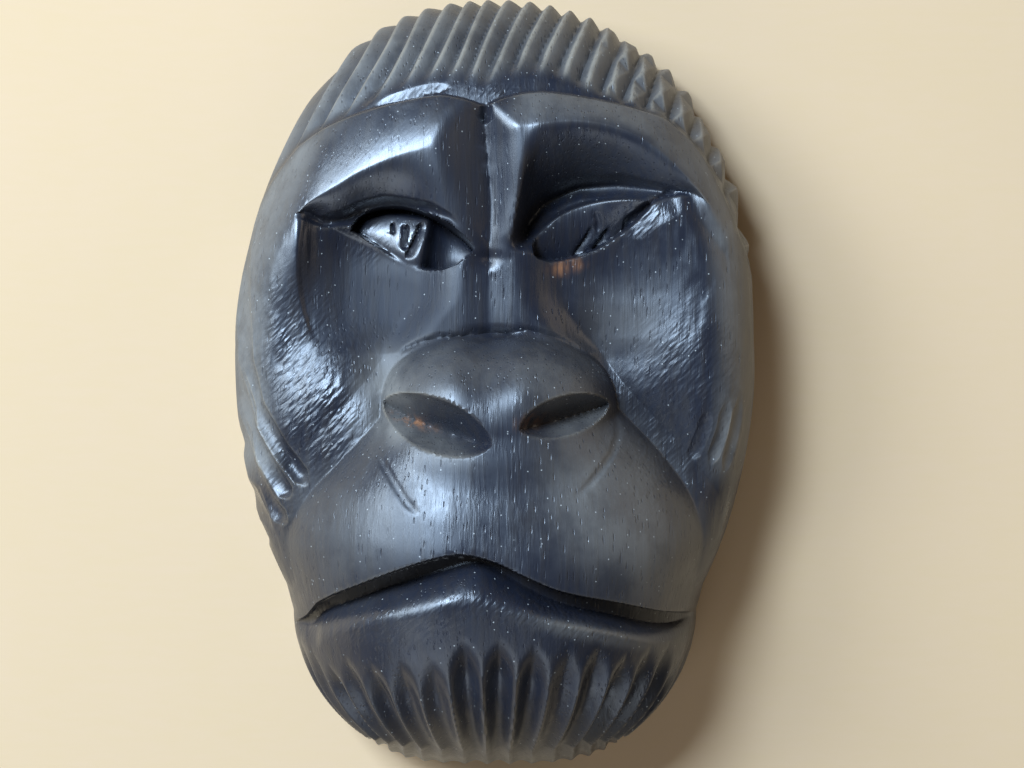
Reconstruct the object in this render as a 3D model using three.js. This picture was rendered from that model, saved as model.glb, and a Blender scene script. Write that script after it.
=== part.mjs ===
// A miniature gorilla mask, carved from one piece of hardwood.
// It lies on its flat back at z = 0, with its face up (+Z) and the top of its head towards +Y.
// Lengths are in millimetres and angles in degrees.
import * as THREE from "three";

// Driving dimensions of the blank: an oval head, and the chin that leaves it below the cheeks.
const HEAD = {
  centreY: 3,
  halfWidth: 35.8,
  up: 50.5,
  down: 51,
  height: 25,
  fall: 1.2,
  upperPower: 2.25,
};
const LEAN = { shift: 1, fromY: 6, fullY: 30, fadingY: 40, toY: 54 }; // of the crown, to the right
const ROUNDING = { sideStart: 0.75, topStart: 0.54, sidePower: 2.7, topPower: 2.2, topFrom: 0.25 };
const CHIN = { topY: -24, startY: -31, halfWidth: 28, down: 23.5, power: 2, cutY: -52.3 };
const OUTLINE_SEARCH = { nearest: 20, farthest: 60, halvings: 30 };
const WALL = 5; // upright edge of the back
const BURIED = 2; // a height below every other surface
const CREASE_BAND = 0.4; // how far two masses blend where they meet in a crease
const ARCH_POWER = 0.8;
const BACK_CHAMFER = { width: 0.5, height: 0.6 };

// The muzzle and chin, as half width and height by y.
const LOWER_WIDTH = curveThrough([
  [-31, 28], [-26, 29.4], [-20, 31.2], [-15, 30], [-10, 26.4], [-5, 21.8], [0, 17.2], [6, 13],
]);
const LOWER_HEIGHT = curveThrough([
  [-52.3, 10], [-51, 18], [-48, 25], [-43, 31], [-35, 35.7], [-25, 38], [-18, 37.4], [-11.5, 35.9],
  [-6, 34], [0, 29.2], [6, 20], [11, 2],
]);
const LOWER_SECTION = { power: 2.5, root: 0.5, topY: 11 };

// Lines of the brow and of the eye sockets, as y by x.
const HAIRLINE = curveThrough([
  [-36, 15], [-32.2, 24], [-28.2, 29.5], [-25.6, 32.1], [-20.3, 34.8], [-12.4, 37], [-7.2, 37.8],
  [-3.9, 37.2], [-1.2, 36.4], [1, 37.3], [4.2, 38.1], [7.6, 38.2], [14.5, 37.1], [21.3, 35.6],
  [23.4, 34.6], [27.2, 31], [30.5, 25], [33, 19], [37, 11],
]);
const BROW_CREST = curveThrough([
  [-29, 20], [-26, 22.4], [-24.3, 23.9], [-20.3, 26.3], [-17.7, 27.8], [-12.4, 29.9], [-7.2, 31.2],
  [-1, 32.6], [4, 33.6], [11, 34.4], [18, 32.9], [23, 29.6], [28, 24.3], [31, 20],
]);
const SOCKET_FOLD = curveThrough([
  [-29, 21], [-25.6, 22.6], [-22, 21.8], [-19.7, 22.1], [-17, 23.3], [-14.4, 23.8], [-12.4, 23.6],
  [-8.5, 22.9], [-5.8, 21.9], [-0.7, 20], [3.6, 20.8], [6.4, 24.1], [8.7, 25.4], [11.4, 26.4],
  [16.6, 26.6], [21.8, 25.7], [26.7, 25], [30, 22],
]);
const LOWER_LID = curveThrough([
  [-29, 20.4], [-25.6, 22], [-19.4, 19.4], [-14, 16.4], [-8.6, 14.6], [-2.6, 17.6], [4, 17.1],
  [8.7, 16], [13.5, 17.8], [20.6, 23.3], [26.5, 24.6], [30, 21],
]);
const FOLD_DEPTH = curveThrough([
  [-27, 0], [-22, 0.9], [-18, 1.1], [-13, 1.1], [-8, 1.3], [-0.7, 2.2], [3, 5.2], [8, 7],
  [13, 6.8], [17, 5], [21, 2.4], [26, 0],
]);
const BROW_FADE = curveThrough([
  [-36, 0.15], [-31, 0.35], [-22, 1], [22, 1], [31, 0.35], [36, 0.15],
]);
const BROW = { roll: 2.4, rollPower: 1.35, edgeWall: 0.5, scoopPower: 1.5 };
const BROW_EDGE = { left: 1.6, leftX: -5, right: 0.75, rightX: 3 }; // height at the hairline
const BROW_MERGE = { left: 14, right: 4 };
const LEAST_SPAN = { roll: 0.5, socket: 0.6 }; // between two lines of the brow
const LID_BLEND_FROM = 0.1; // share of the way down to the lid where the cheek begins to show
const BROW_RIDGE = { middleX: -0.8, rightBlend: 2.2, leftBlend: 7.5 };
const SOCKET_END = { centreX: 1.2, from: 24.4, to: 27.6 };

// Soft bowls in the cheeks; a depth below 0 swells.
const HOLLOWS = [
  { centre: [-13, 12], radii: [14, 15], depth: 1.9 },
  { centre: [-17, -8], radii: [15, 17], depth: -3.2 },
  { centre: [14.5, 12.5], radii: [15, 15], depth: 2.5 },
];
const HOLLOW_POWER = 1.7;

// The crisp rim of the left socket, as x and depth by y.
const RIM_X = curveThrough([[5, -23.6], [9, -25.2], [13, -25.9], [18, -26], [23, -25]]);
const RIM_DEPTH = curveThrough([[4, 0], [11, 1.6], [17, 2.4], [23, 1.8]]);
const RIM = { wall: 0.8, wallShare: 0.25, slope: 7, fade: [23, 8] };

// Where the cheeks fall away towards the muzzle.
const VALLEY = {
  left: { depth: 0.9, reach: 5 },
  right: { depth: 2.4, reach: 11 },
  slant: 0.7,
  low: [-24, -10],
  high: [11, 3],
};

// The cut between the brows, and the bridge of the nose below it.
const CUT_X = curveThrough([[16, -0.7], [24, -0.4], [29, -0.8], [37, -1.5]]);
const RIDGE_RIGHT = curveThrough([[16, 1.4], [20, 2.2], [26, 3], [34, 4]]);
const RIDGE_LEFT = curveThrough([[16, -4.4], [21, -5.8], [27, -6.4], [34, -5.2]]);
const RIDGE_HEIGHT = curveThrough([[14, 0.3], [18, 0.8], [24, 1.7], [34, 2.4]]);
const LEFT_LIFT = curveThrough([[18, 0], [24, 0.3], [28, 0.8], [34, 1]]);
const CUT_FLOOR = curveThrough([[14, 0], [18, 0.5], [31, 0.6], [35, 0], [38, -0.9]]);
const CUT = { rightSlope: 0.74, leftSlope: 0.62, band: 0.9, bottom: [14.5, 17], top: [38.4, 36.8] };
const BRIDGE_HALF = curveThrough([[4, 12.6], [6.5, 10.4], [8.4, 9], [11, 7], [13.7, 6.4], [20, 5.6]]);
const BRIDGE = { x: -0.7, height: 0.5, side: 3.2 };
const BRIDGE_CREASE = { depth: 0.6, half: 3.4, fromY: 5, toY: 18, fade: 1.8 };

// Each eye is an almond from its left corner to its right one.
const EYES = [
  {
    from: [-19, 20.4],
    to: [-2.7, 17.8],
    sunk: curveThrough([[0, 5.2], [0.3, 4.2], [0.58, 3.1], [0.68, 5.2], [0.8, 5.8], [1, 4.8]]),
    upper: { bow: 4.1, peak: 0.38 },
    lower: { bow: 3.6, peak: 0.64 },
    lean: -1.3,
    bulge: 1,
    edge: 0.35,
  },
  {
    from: [5.2, 17.2],
    to: [20.8, 23.9],
    sunk: curveThrough([[0, 5], [0.25, 5.8], [0.6, 5.8], [1, 2.8]]),
    upper: { bow: 3.9, peak: 0.42 },
    lower: { bow: 2.7, peak: 0.4 },
    lean: 1.8,
    bulge: 0.7,
    edge: 0.45,
  },
];
const EYE = { acrossPower: 0.7, alongPower: 0.5 };

const NOSE = {
  x: 0.2,
  y: -4,
  halfWidth: 16.4,
  up: 11.2,
  down: 17,
  power: 2.3,
  base: 19,
  height: 17,
  ballPower: 2.4,
  outerSlope: 12,
};
const NOSE_JOIN = { tight: 0.4, tightY: -3, soft: 4, softY: -11 };
const NOSE_FURROW = { depth: 1.5, half: 5.2, fromY: -7, deepY: 4, fadingY: 5.5, toY: 8 };
const NOSTRILS = [
  { from: [-14.4, -2.2], to: [-0.3, -7.7], upper: 3.1, lower: 3.7, depth: 5.6 },
  { from: [3.3, -5.7], to: [15, -2.5], upper: 2.6, lower: 2.5, depth: 5.2 },
];
const NOSTRIL = { valley: 0.42, bowPower: 0.62, upperPower: 0.8 };

// The mouth: the edge of the upper lip as y by x, and the slit and the lower lip under it.
const MOUTH = curveThrough([
  [-29, -33], [-25.3, -31.1], [-22.7, -28.4], [-17, -25.6], [-11.8, -23.5], [-6.7, -21.9],
  [-3.5, -21.6], [0, -22.5], [3.3, -24], [8.4, -26.2], [16, -28], [21.6, -29.6], [26.6, -30.7],
  [29, -31],
]);
const SLIT_DEPTH = curveThrough([
  [-27.6, 0], [-25, 3], [-20, 4.9], [-12, 5.4], [-3, 4], [3, 4.8], [12, 5.4], [20, 5],
  [24.4, 3.2], [27.2, 0],
]);
const SLIT_WIDTH = curveThrough([
  [-27.6, 0.3], [-22, 1.6], [-12, 1.9], [-6, 2], [-3.5, 1.4], [-1.5, 0.8], [1, 1.1], [6, 1.6],
  [14, 2], [22, 1.9], [27.2, 0.5],
]);
const LIP_WIDTH = curveThrough([
  [-27.6, 1.5], [-23, 4.6], [-18, 5.2], [-9.4, 6.4], [-4.9, 6.7], [-0.5, 5.9], [3.4, 4.9],
  [8.5, 4.3], [19, 4.3], [23.3, 4.1], [27.2, 1.6],
]);
const LIP_EDGE = { above: 0.2, below: 0.3, power: 2 };

// Folds pressed in over the lids, as hollow strokes of a gouge along a path.
const FOLDS = [
  {
    path: [
      [-26.6, 22.4], [-22.6, 21.4], [-19.7, 21.9], [-17, 23.1], [-14.4, 23.7], [-12.4, 23.5],
      [-8.5, 22.8], [-5.8, 21.7], [-3.9, 20],
    ],
    half: 1.15,
    depth: 1.9,
    runOut: [0.35, 0.3],
  },
  {
    path: [
      [2.9, 17.6], [3.8, 20.9], [6.4, 24.1], [8.7, 25.4], [11.4, 26.4], [16.6, 26.6],
      [21.8, 25.7], [26.5, 25],
    ],
    half: 1.4,
    depth: 1.1,
    runOut: [0.35, 0.35],
  },
];

// Gouge cuts: hair over the brow, whiskers on the sides and a fluted beard.
const HAIR = { lean: 22, leftLean: 3, leftX: [-4, -26], aboutY: 38, roundTop: 0.16 };
const HAIR_PITCH = { width: 2.8, offset: 0.69, spread: 0.0046, litSide: 0.3 };
const HAIR_CROSSING = { lean: -42, width: 3.5, x: [12, 19], share: 0.6 };
const HAIR_DEPTH = { left: 0.85, leftX: -10, right: 1.2, rightX: 14 };
const HAIR_START = curveThrough([[-30, 0], [-20, 0.2], [-11, 1.8], [6, 2], [13, 0.6], [20, 0]]);
const HAIR_FULL = curveThrough([[-30, 1.6], [-20, 2.4], [-11, 5.4], [6, 6], [13, 3.4], [20, 1.8]]);
const WHISKERS = [
  {
    path: [
      [-32.8, 23.5], [-33.5, 17], [-33.7, 10], [-33.2, 3], [-31.6, -3], [-28, -8.8], [-24.4, -13.4],
    ],
    half: 1.3,
    depth: 0.95,
    runOut: [0.4, 0.05],
  },
  {
    path: [[-34.9, 4], [-34.1, -1.5], [-32.6, -6.2], [-30.2, -10.3], [-27, -15.2]],
    half: 1.25,
    depth: 0.95,
    runOut: [0.3, 0.06],
  },
  {
    path: [[-34.9, -3], [-33.9, -8], [-32.2, -12.2], [-30, -15.9], [-27.4, -18.7]],
    half: 1.2,
    depth: 0.85,
    runOut: [0.3, 0.1],
  },
  { path: [[-33.8, -12.6], [-31.4, -17.3], [-29.6, -19.6]], half: 1, depth: 0.55, runOut: [0.3, 0.3] },
  { path: [[-32.9, -18.4], [-30.7, -22]], half: 0.9, depth: 0.4, runOut: [0.25, 0.25] },
  { path: [[28.4, -3], [27.6, -6.2], [26, -10.4]], half: 1, depth: 0.3, runOut: [0.3, 0.2] },
  { path: [[31, -1.5], [30.2, -6], [28.6, -11]], half: 0.9, depth: 0.35, runOut: [0.3, 0.2] },
  { path: [[32.8, -1], [31.9, -6.4], [30.6, -12]], half: 0.8, depth: 0.35, runOut: [0.3, 0.2] },
  { path: [[34.4, -1], [33.8, -6.6], [32.4, -12.4]], half: 0.8, depth: 0.35, runOut: [0.3, 0.2] },
];
const OFF_MUZZLE = 0.6; // how far a cheek stands over the muzzle where its whiskers are full
const STROKE_END_WIDTH = 0.35; // of a stroke's width, where it runs out
const BEARD = { pitch: 9.2, offset: 0.33, depth: 1.4, ridgePower: 1.4, leastHalf: 19 };
const BEARD_TOP = { y: -32.8, drop: 2.4, dropX: 26, point: 2, fade: 6.5 };
const BEARD_FOOT = { y: [-44, -52], share: 0.3 }; // the flutes run shallow towards the edge

// How finely the form is sampled, and how many flat facets stand for it in the end.
const SAMPLES = { rings: 150, wallRings: 4, sectors: 560 };
const FACETS = 9600;
const MERGING = { leastTurnCosine: 0.25, leastArea: 1e-5, lengthCost: 1e-7, reach: 2, flatness: 1e-4 };

// Shaping functions.

function clamp(value, low, high) {
  return Math.min(high, Math.max(low, value));
}

function smoothstep(low, high, value) {
  const t = clamp((value - low) / (high - low), 0, 1);
  return t * t * (3 - 2 * t);
}

function mix(a, b, share) {
  return a + (b - a) * share;
}

// The higher of two surfaces, blended over a band of heights.
function smoothMax(a, b, band) {
  const share = clamp(0.5 + (0.5 * (a - b)) / band, 0, 1);
  return mix(b, a, share) + band * share * (1 - share);
}

function smoothMin(a, b, band) {
  return -smoothMax(-a, -b, band);
}

// A smooth curve through [place, value] points, level past its ends.
function curveThrough(points) {
  const last = points.length - 1;
  const slopes = points.map((_, i) => {
    const [beforePlace, beforeValue] = points[Math.max(i - 1, 0)];
    const [afterPlace, afterValue] = points[Math.min(i + 1, last)];
    return (afterValue - beforeValue) / (afterPlace - beforePlace);
  });
  return (place) => {
    const at = Math.min(Math.max(place, points[0][0]), points[last][0]);
    let i = 0;
    while (i < last - 1 && at > points[i + 1][0]) i += 1;
    const span = points[i + 1][0] - points[i][0];
    const t = (at - points[i][0]) / span;
    const [before, after] = [points[i][1], points[i + 1][1]];
    return (
      (1 + 2 * t) * (1 - t) ** 2 * before +
      t * (1 - t) ** 2 * span * slopes[i] +
      t * t * (3 - 2 * t) * after +
      t * t * (t - 1) * span * slopes[i + 1]
    );
  };
}

// How much longer a curve is than its shadow on the axis, for distances square to it.
function stretchOf(curve, place) {
  const step = 0.05;
  return Math.hypot(1, (curve(place + step) - curve(place - step)) / (2 * step));
}

// An arch over 0 to 1 that is 1 at its peak.
function arch(share, peak) {
  const warped = clamp(share, 0, 1) ** (Math.log(0.5) / Math.log(peak));
  return clamp(4 * warped * (1 - warped), 0, 1) ** ARCH_POWER;
}

// Place along a chord from 0 to 1, and distance to its left side.
function alongChord(x, y, from, to) {
  const [dx, dy] = [to[0] - from[0], to[1] - from[1]];
  const length = Math.hypot(dx, dy);
  return {
    share: ((x - from[0]) * dx + (y - from[1]) * dy) / length ** 2,
    side: ((y - from[1]) * dx - (x - from[0]) * dy) / length,
  };
}

// A hollow stroke of a gouge: its depth at a place, 0 away from it.
function strokeDepth(x, y, { path, half, depth, runOut }) {
  const lengths = [];
  for (let i = 1; i < path.length; i += 1) {
    lengths.push(Math.hypot(path[i][0] - path[i - 1][0], path[i][1] - path[i - 1][1]));
  }
  const whole = lengths.reduce((sum, length) => sum + length, 0);
  let [nearest, share, before] = [Infinity, 0, 0];
  lengths.forEach((length, i) => {
    const [[ax, ay], [bx, by]] = [path[i], path[i + 1]];
    const t = clamp(((x - ax) * (bx - ax) + (y - ay) * (by - ay)) / length ** 2, 0, 1);
    const away = Math.hypot(x - mix(ax, bx, t), y - mix(ay, by, t));
    if (away < nearest) [nearest, share] = [away, (before + t * length) / whole];
    before += length;
  });
  const ends = smoothstep(0, runOut[0], share) * smoothstep(1, 1 - runOut[1], share);
  const across = nearest / (half * mix(STROKE_END_WIDTH, 1, ends));
  return across < 1 ? depth * ends * (1 - across ** 2) : 0;
}

// Outline and masses.

// 0 at the middle of the head and 1 at its outline.
function headRadius(x, y) {
  const power = y > HEAD.centreY ? HEAD.upperPower : 2;
  const reach = y > HEAD.centreY ? HEAD.up : HEAD.down;
  const leanX =
    LEAN.shift * smoothstep(LEAN.fromY, LEAN.fullY, y) * smoothstep(LEAN.toY, LEAN.fadingY, y);
  const across = Math.abs((x - leanX) / HEAD.halfWidth) ** power;
  const along = Math.abs((y - HEAD.centreY) / reach) ** power;
  return (across + along) ** (1 / power);
}

function lowerHalfWidth(y) {
  if (y >= CHIN.startY) return LOWER_WIDTH(y);
  const t = clamp((CHIN.startY - y) / CHIN.down, 0, 1);
  return CHIN.halfWidth * (1 - t ** CHIN.power) ** (1 / CHIN.power);
}

function isInside(x, y) {
  if (y < CHIN.cutY) return false;
  const inChin = y < CHIN.topY && Math.abs(x) < lowerHalfWidth(y);
  return inChin || headRadius(x, y) < 1;
}

// Distance from the middle to the outline, by halving.
function outlineRadius(angle) {
  let [low, high] = [OUTLINE_SEARCH.nearest, OUTLINE_SEARCH.farthest];
  for (let i = 0; i < OUTLINE_SEARCH.halvings; i += 1) {
    const middle = (low + high) / 2;
    if (isInside(middle * Math.cos(angle), middle * Math.sin(angle))) low = middle;
    else high = middle;
  }
  return low;
}

function headHeight(x, y) {
  const radius = headRadius(x, y);
  const towardsTop = (y - HEAD.centreY) / Math.max(Math.hypot(x, y - HEAD.centreY), 1e-6);
  const top = smoothstep(ROUNDING.topFrom, 1, towardsTop);
  const start = mix(ROUNDING.sideStart, ROUNDING.topStart, top);
  const power = mix(ROUNDING.sidePower, ROUNDING.topPower, top);
  const crown = (1 - clamp((radius - start) / (1 - start), 0, 1) ** power) ** (1 / power);
  return WALL + (HEAD.height - WALL - HEAD.fall * radius ** 2) * crown;
}

function lowerHeight(x, y) {
  const half = lowerHalfWidth(y);
  if (Math.abs(x) >= half || y > LOWER_SECTION.topY) return BURIED;
  const section = 1 - (Math.abs(x) / half) ** LOWER_SECTION.power;
  return WALL + (LOWER_HEIGHT(y) - WALL) * section ** LOWER_SECTION.root;
}

// Brow, sockets and cheeks, as heights over the plain head.

function valleyDepth(x, y) {
  const { depth, reach } = x < 0 ? VALLEY.left : VALLEY.right;
  const away = VALLEY.slant * (Math.abs(x) - lowerHalfWidth(y));
  const near = clamp(1 - away / reach, 0, 1);
  return depth * near ** 2 * smoothstep(...VALLEY.low, y) * smoothstep(...VALLEY.high, y);
}

function hollowDepth(x, y, { centre, radii, depth }) {
  const inside = 1 - ((x - centre[0]) / radii[0]) ** 2 - ((y - centre[1]) / radii[1]) ** 2;
  return depth * Math.max(inside, 0) ** HOLLOW_POWER;
}

function terraceDepth(x, y) {
  const inside = x - RIM_X(y);
  const wall = smoothstep(0, RIM.wall, inside);
  const slope = smoothstep(0, RIM.slope, inside);
  return RIM_DEPTH(y) * mix(slope, wall, RIM.wallShare) * smoothstep(...RIM.fade, inside);
}

function cheekOffset(x, y) {
  const half = BRIDGE_HALF(y);
  const bridge = 1 - smoothstep(half - BRIDGE.side, half + BRIDGE.side, Math.abs(x - BRIDGE.x));
  let depth = valleyDepth(x, y) + terraceDepth(x, y);
  for (const hollow of HOLLOWS) depth += hollowDepth(x, y, hollow);
  return BRIDGE.height * bridge - depth * (1 - bridge);
}

function browOffset(x, y) {
  const [top, crest, fold, lid] = [HAIRLINE(x), BROW_CREST(x), SOCKET_FOLD(x), LOWER_LID(x)];
  const roll = BROW.roll * BROW_FADE(x);
  const towardsRight = smoothstep(BROW_EDGE.leftX, BROW_EDGE.rightX, x);
  const edge = mix(BROW_EDGE.left, BROW_EDGE.right, towardsRight) * BROW_FADE(x);
  if (y > top) return edge * smoothstep(BROW.edgeWall, 0, (y - top) / stretchOf(HAIRLINE, x));
  const onRight = x > BROW_RIDGE.middleX;
  const beyondRidge = onRight ? x - RIDGE_RIGHT(y) : RIDGE_LEFT(y) - x;
  const blend = onRight ? BROW_RIDGE.rightBlend : BROW_RIDGE.leftBlend;
  const ridge = RIDGE_HEIGHT(y) + (onRight ? 0 : LEFT_LIFT(y));
  const offRidge = smoothstep(0, blend, beyondRidge);
  if (y > crest) {
    const u = clamp((y - crest) / Math.max(top - crest, LEAST_SPAN.roll), 0, 1);
    return mix(mix(ridge, roll, offRidge), edge, u ** BROW.rollPower);
  }
  const cheek = cheekOffset(x, y);
  let offset = cheek;
  if (y > fold) {
    const v = clamp((crest - y) / Math.max(crest - fold, LEAST_SPAN.socket), 0, 1);
    const scoop = mix(roll, -FOLD_DEPTH(x), v ** BROW.scoopPower);
    offset = mix(ridge, scoop, offRidge);
  } else if (y > lid) {
    const w = clamp((fold - y) / Math.max(fold - lid, LEAST_SPAN.socket), 0, 1);
    const floor = mix(ridge, -FOLD_DEPTH(x), offRidge);
    offset = mix(floor, cheek, smoothstep(LID_BLEND_FROM, 1, w));
  }
  const closed = smoothstep(SOCKET_END.from, SOCKET_END.to, Math.abs(x - SOCKET_END.centreX));
  const merge = onRight ? BROW_MERGE.right : BROW_MERGE.left;
  const merged = mix(roll, cheek, smoothstep(0, merge, crest - y));
  return mix(offset, merged, closed);
}

// The cut between the brows leaves two sloping walls.
function cutHeight(x, y, head) {
  const side = x - CUT_X(y);
  const rise = side > 0 ? CUT.rightSlope * side : -CUT.leftSlope * side;
  return head - CUT_FLOOR(y) + rise;
}

// Features.

function withEyes(x, y, height, head) {
  let result = height;
  for (const eye of EYES) {
    const { share, side } = alongChord(x, y, eye.from, eye.to);
    if (share <= 0 || share >= 1) continue;
    const upper = eye.upper.bow * arch(share, eye.upper.peak);
    const lower = -eye.lower.bow * arch(share, eye.lower.peak);
    const v = (side - lower) / Math.max(upper - lower, 1e-3);
    const inEye = smoothstep(-eye.edge / 2, eye.edge, Math.min(side - lower, upper - side));
    const across = clamp(4 * v * (1 - v), 0, 1) ** EYE.acrossPower;
    const along = (4 * share * (1 - share)) ** EYE.alongPower;
    const lens = head - eye.sunk(share) + eye.lean * v + eye.bulge * across * along;
    result = mix(result, lens, inEye);
  }
  return result;
}

function noseHeight(x, y) {
  const reach = y > NOSE.y ? NOSE.up : NOSE.down;
  const across = Math.abs((x - NOSE.x) / NOSE.halfWidth) ** NOSE.power;
  const along = Math.abs((y - NOSE.y) / reach) ** NOSE.power;
  const radius = (across + along) ** (1 / NOSE.power);
  const ball = Math.sqrt(clamp(1 - radius ** NOSE.ballPower, 0, 1));
  return NOSE.base + NOSE.height * ball - NOSE.outerSlope * Math.max(radius - 1, 0);
}

function nostrilDepth(x, y, nostril) {
  const { share, side } = alongChord(x, y, nostril.from, nostril.to);
  if (share <= 0 || share >= 1) return 0;
  const bow = (4 * share * (1 - share)) ** NOSTRIL.bowPower;
  const [upper, lower] = [nostril.upper * bow, -nostril.lower * bow];
  if (side > upper || side < lower) return 0;
  const valley = mix(lower, upper, NOSTRIL.valley);
  const fromTop = clamp((upper - side) / (upper - valley), 0, 1) ** NOSTRIL.upperPower;
  const fromBottom = clamp((side - lower) / (valley - lower), 0, 1);
  return nostril.depth * bow * Math.min(fromTop, fromBottom);
}

// The slit has a flat bottom, and the lower lip rises from it to its crest.
function mouthDepth(x, y) {
  const below = (MOUTH(x) - y) / stretchOf(MOUTH, x);
  const ramp = clamp((LIP_WIDTH(x) - below) / (LIP_WIDTH(x) - SLIT_WIDTH(x)), 0, 1);
  const rise = below < SLIT_WIDTH(x) ? 1 : ramp ** LIP_EDGE.power;
  return SLIT_DEPTH(x) * smoothstep(-LIP_EDGE.above, LIP_EDGE.below, below) * rise;
}

// The sharp crease down the middle of the bridge.
function creaseDepth(x, y) {
  const { depth, half, fromY, toY, fade } = BRIDGE_CREASE;
  const across = clamp(1 - Math.abs(x - BRIDGE.x) / half, 0, 1);
  return depth * across * smoothstep(fromY, fromY + fade, y) * smoothstep(toY, toY - fade, y);
}

// The soft furrow over the ball of the nose.
function furrowDepth(x, y) {
  const { depth, half, fromY, deepY, fadingY, toY } = NOSE_FURROW;
  const across = smoothstep(half, 0, Math.abs(x - BRIDGE.x));
  return depth * across * smoothstep(fromY, deepY, y) * smoothstep(toY, fadingY, y);
}

function frontHeight(x, y) {
  const head = headHeight(x, y);
  const brow = head + browOffset(x, y);
  const cutShare = smoothstep(...CUT.bottom, y) * smoothstep(...CUT.top, y);
  let z = mix(brow, smoothMin(brow, cutHeight(x, y, head), CUT.band), cutShare);
  z -= creaseDepth(x, y);
  z = withEyes(x, y, z, head);
  z = smoothMax(z, lowerHeight(x, y), CREASE_BAND);
  const softness = smoothstep(NOSE_JOIN.tightY, NOSE_JOIN.softY, y);
  z = smoothMax(z, noseHeight(x, y), mix(NOSE_JOIN.tight, NOSE_JOIN.soft, softness));
  z -= furrowDepth(x, y);
  for (const nostril of NOSTRILS) z -= nostrilDepth(x, y, nostril);
  for (const fold of FOLDS) z -= strokeDepth(x, y, fold);
  return z - mouthDepth(x, y);
}

// Gouge cuts, as depths square to the surface.

// One family of ridges that leans to the right: 0 between them and 1 on top.
function hairRidge(x, y, degrees, width) {
  const lean = THREE.MathUtils.degToRad(degrees);
  const across = x * Math.cos(lean) - (y - HAIR.aboutY) * Math.sin(lean);
  const { offset, spread, litSide } = HAIR_PITCH;
  const phase = (across / width) * (1 - spread * across) + offset;
  const f = phase - Math.floor(phase);
  const rise = f < litSide ? f / litSide : (1 - f) / (1 - litSide);
  return Math.max((1 - Math.hypot(1 - rise, HAIR.roundTop)) / (1 - HAIR.roundTop), 0);
}

function hairDepth(x, y) {
  const above = (y - HAIRLINE(x)) / stretchOf(HAIRLINE, x);
  const lean = HAIR.lean + HAIR.leftLean * smoothstep(...HAIR.leftX, x);
  const straight = hairRidge(x, y, lean, HAIR_PITCH.width);
  const crossing = HAIR_CROSSING.share * smoothstep(...HAIR_CROSSING.x, x);
  const crossed = 1 - crossing * (1 - hairRidge(x, y, HAIR_CROSSING.lean, HAIR_CROSSING.width));
  const { left, leftX, right, rightX } = HAIR_DEPTH;
  const depth = mix(left, right, smoothstep(leftX, rightX, x));
  return depth * smoothstep(HAIR_START(x), HAIR_FULL(x), above) * (1 - Math.min(straight, crossed));
}

function whiskerDepth(x, y) {
  const onHead = smoothstep(0, OFF_MUZZLE, headHeight(x, y) - lowerHeight(x, y));
  let depth = 0;
  for (const whisker of WHISKERS) depth += strokeDepth(x, y, whisker);
  return onHead * depth;
}

function beardDepth(x, y) {
  const half = Math.max(lowerHalfWidth(y), BEARD.leastHalf);
  const angle = THREE.MathUtils.radToDeg(Math.asin(clamp(x / half, -1, 1)));
  const phase = angle / BEARD.pitch + BEARD.offset;
  const f = Math.abs(2 * (phase - Math.floor(phase)) - 1);
  const top = BEARD_TOP.y - BEARD_TOP.drop * (x / BEARD_TOP.dropX) ** 2 - BEARD_TOP.point * f;
  const depth = BEARD.depth * smoothstep(top, top - BEARD_TOP.fade, y) * (1 - f * f) ** BEARD.ridgePower;
  return depth * mix(1, BEARD_FOOT.share, smoothstep(...BEARD_FOOT.y, y));
}

// A fine closed skin: rings from the middle of the face outwards, down the edge and to the back.
function fineSkin() {
  const { rings, wallRings, sectors } = SAMPLES;
  const points = [[0, 0, frontHeight(0, 0)]];
  const radii = [];
  for (let j = 0; j < sectors; j += 1) radii.push(outlineRadius((j / sectors) * 2 * Math.PI));
  const ring = (share, inset, heightAt) => {
    for (let j = 0; j < sectors; j += 1) {
      const angle = (j / sectors) * 2 * Math.PI;
      const x = (radii[j] - inset) * share * Math.cos(angle);
      const y = (radii[j] - inset) * share * Math.sin(angle);
      points.push([x, y, heightAt(x, y)]);
    }
  };
  for (let i = 1; i <= rings; i += 1) ring(Math.sin((i / rings) * (Math.PI / 2)), 0, frontHeight);
  for (let i = 1; i <= wallRings; i += 1) {
    const z = mix(WALL, BACK_CHAMFER.height, i / wallRings);
    ring(1, 0, () => z);
  }
  ring(1, BACK_CHAMFER.width, () => 0);
  points.push([0, 0, 0]);
  const index = [];
  const at = (i, j) => 1 + i * sectors + (j % sectors);
  const ringCount = rings + wallRings + 1;
  const back = points.length - 1;
  for (let j = 0; j < sectors; j += 1) {
    index.push(0, at(0, j), at(0, j + 1));
    for (let i = 0; i + 1 < ringCount; i += 1) {
      index.push(at(i, j), at(i + 1, j), at(i + 1, j + 1));
      index.push(at(i, j), at(i + 1, j + 1), at(i, j + 1));
    }
    index.push(back, at(ringCount - 1, j + 1), at(ringCount - 1, j));
  }
  return { points, index };
}

// Cuts the hair, whiskers and beard into the skin, square to its smooth surface.
function cutGrooves({ points, index }) {
  const geometry = new THREE.BufferGeometry();
  geometry.setAttribute("position", new THREE.Float32BufferAttribute(points.flat(), 3));
  geometry.setIndex(index);
  geometry.computeVertexNormals();
  const normals = geometry.getAttribute("normal");
  points.forEach((point, i) => {
    const [x, y, z] = point;
    const onBack = z <= 0;
    if (onBack && Math.hypot(x, y) < 1) return;
    const normal = new THREE.Vector3().fromBufferAttribute(normals, i);
    if (z <= BACK_CHAMFER.height + 1e-6) normal.setZ(0).normalize();
    const depth = hairDepth(x, y) + whiskerDepth(x, y) + beardDepth(x, y);
    point[0] -= normal.x * depth;
    point[1] -= normal.y * depth;
    point[2] -= normal.z * depth;
  });
}

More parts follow.
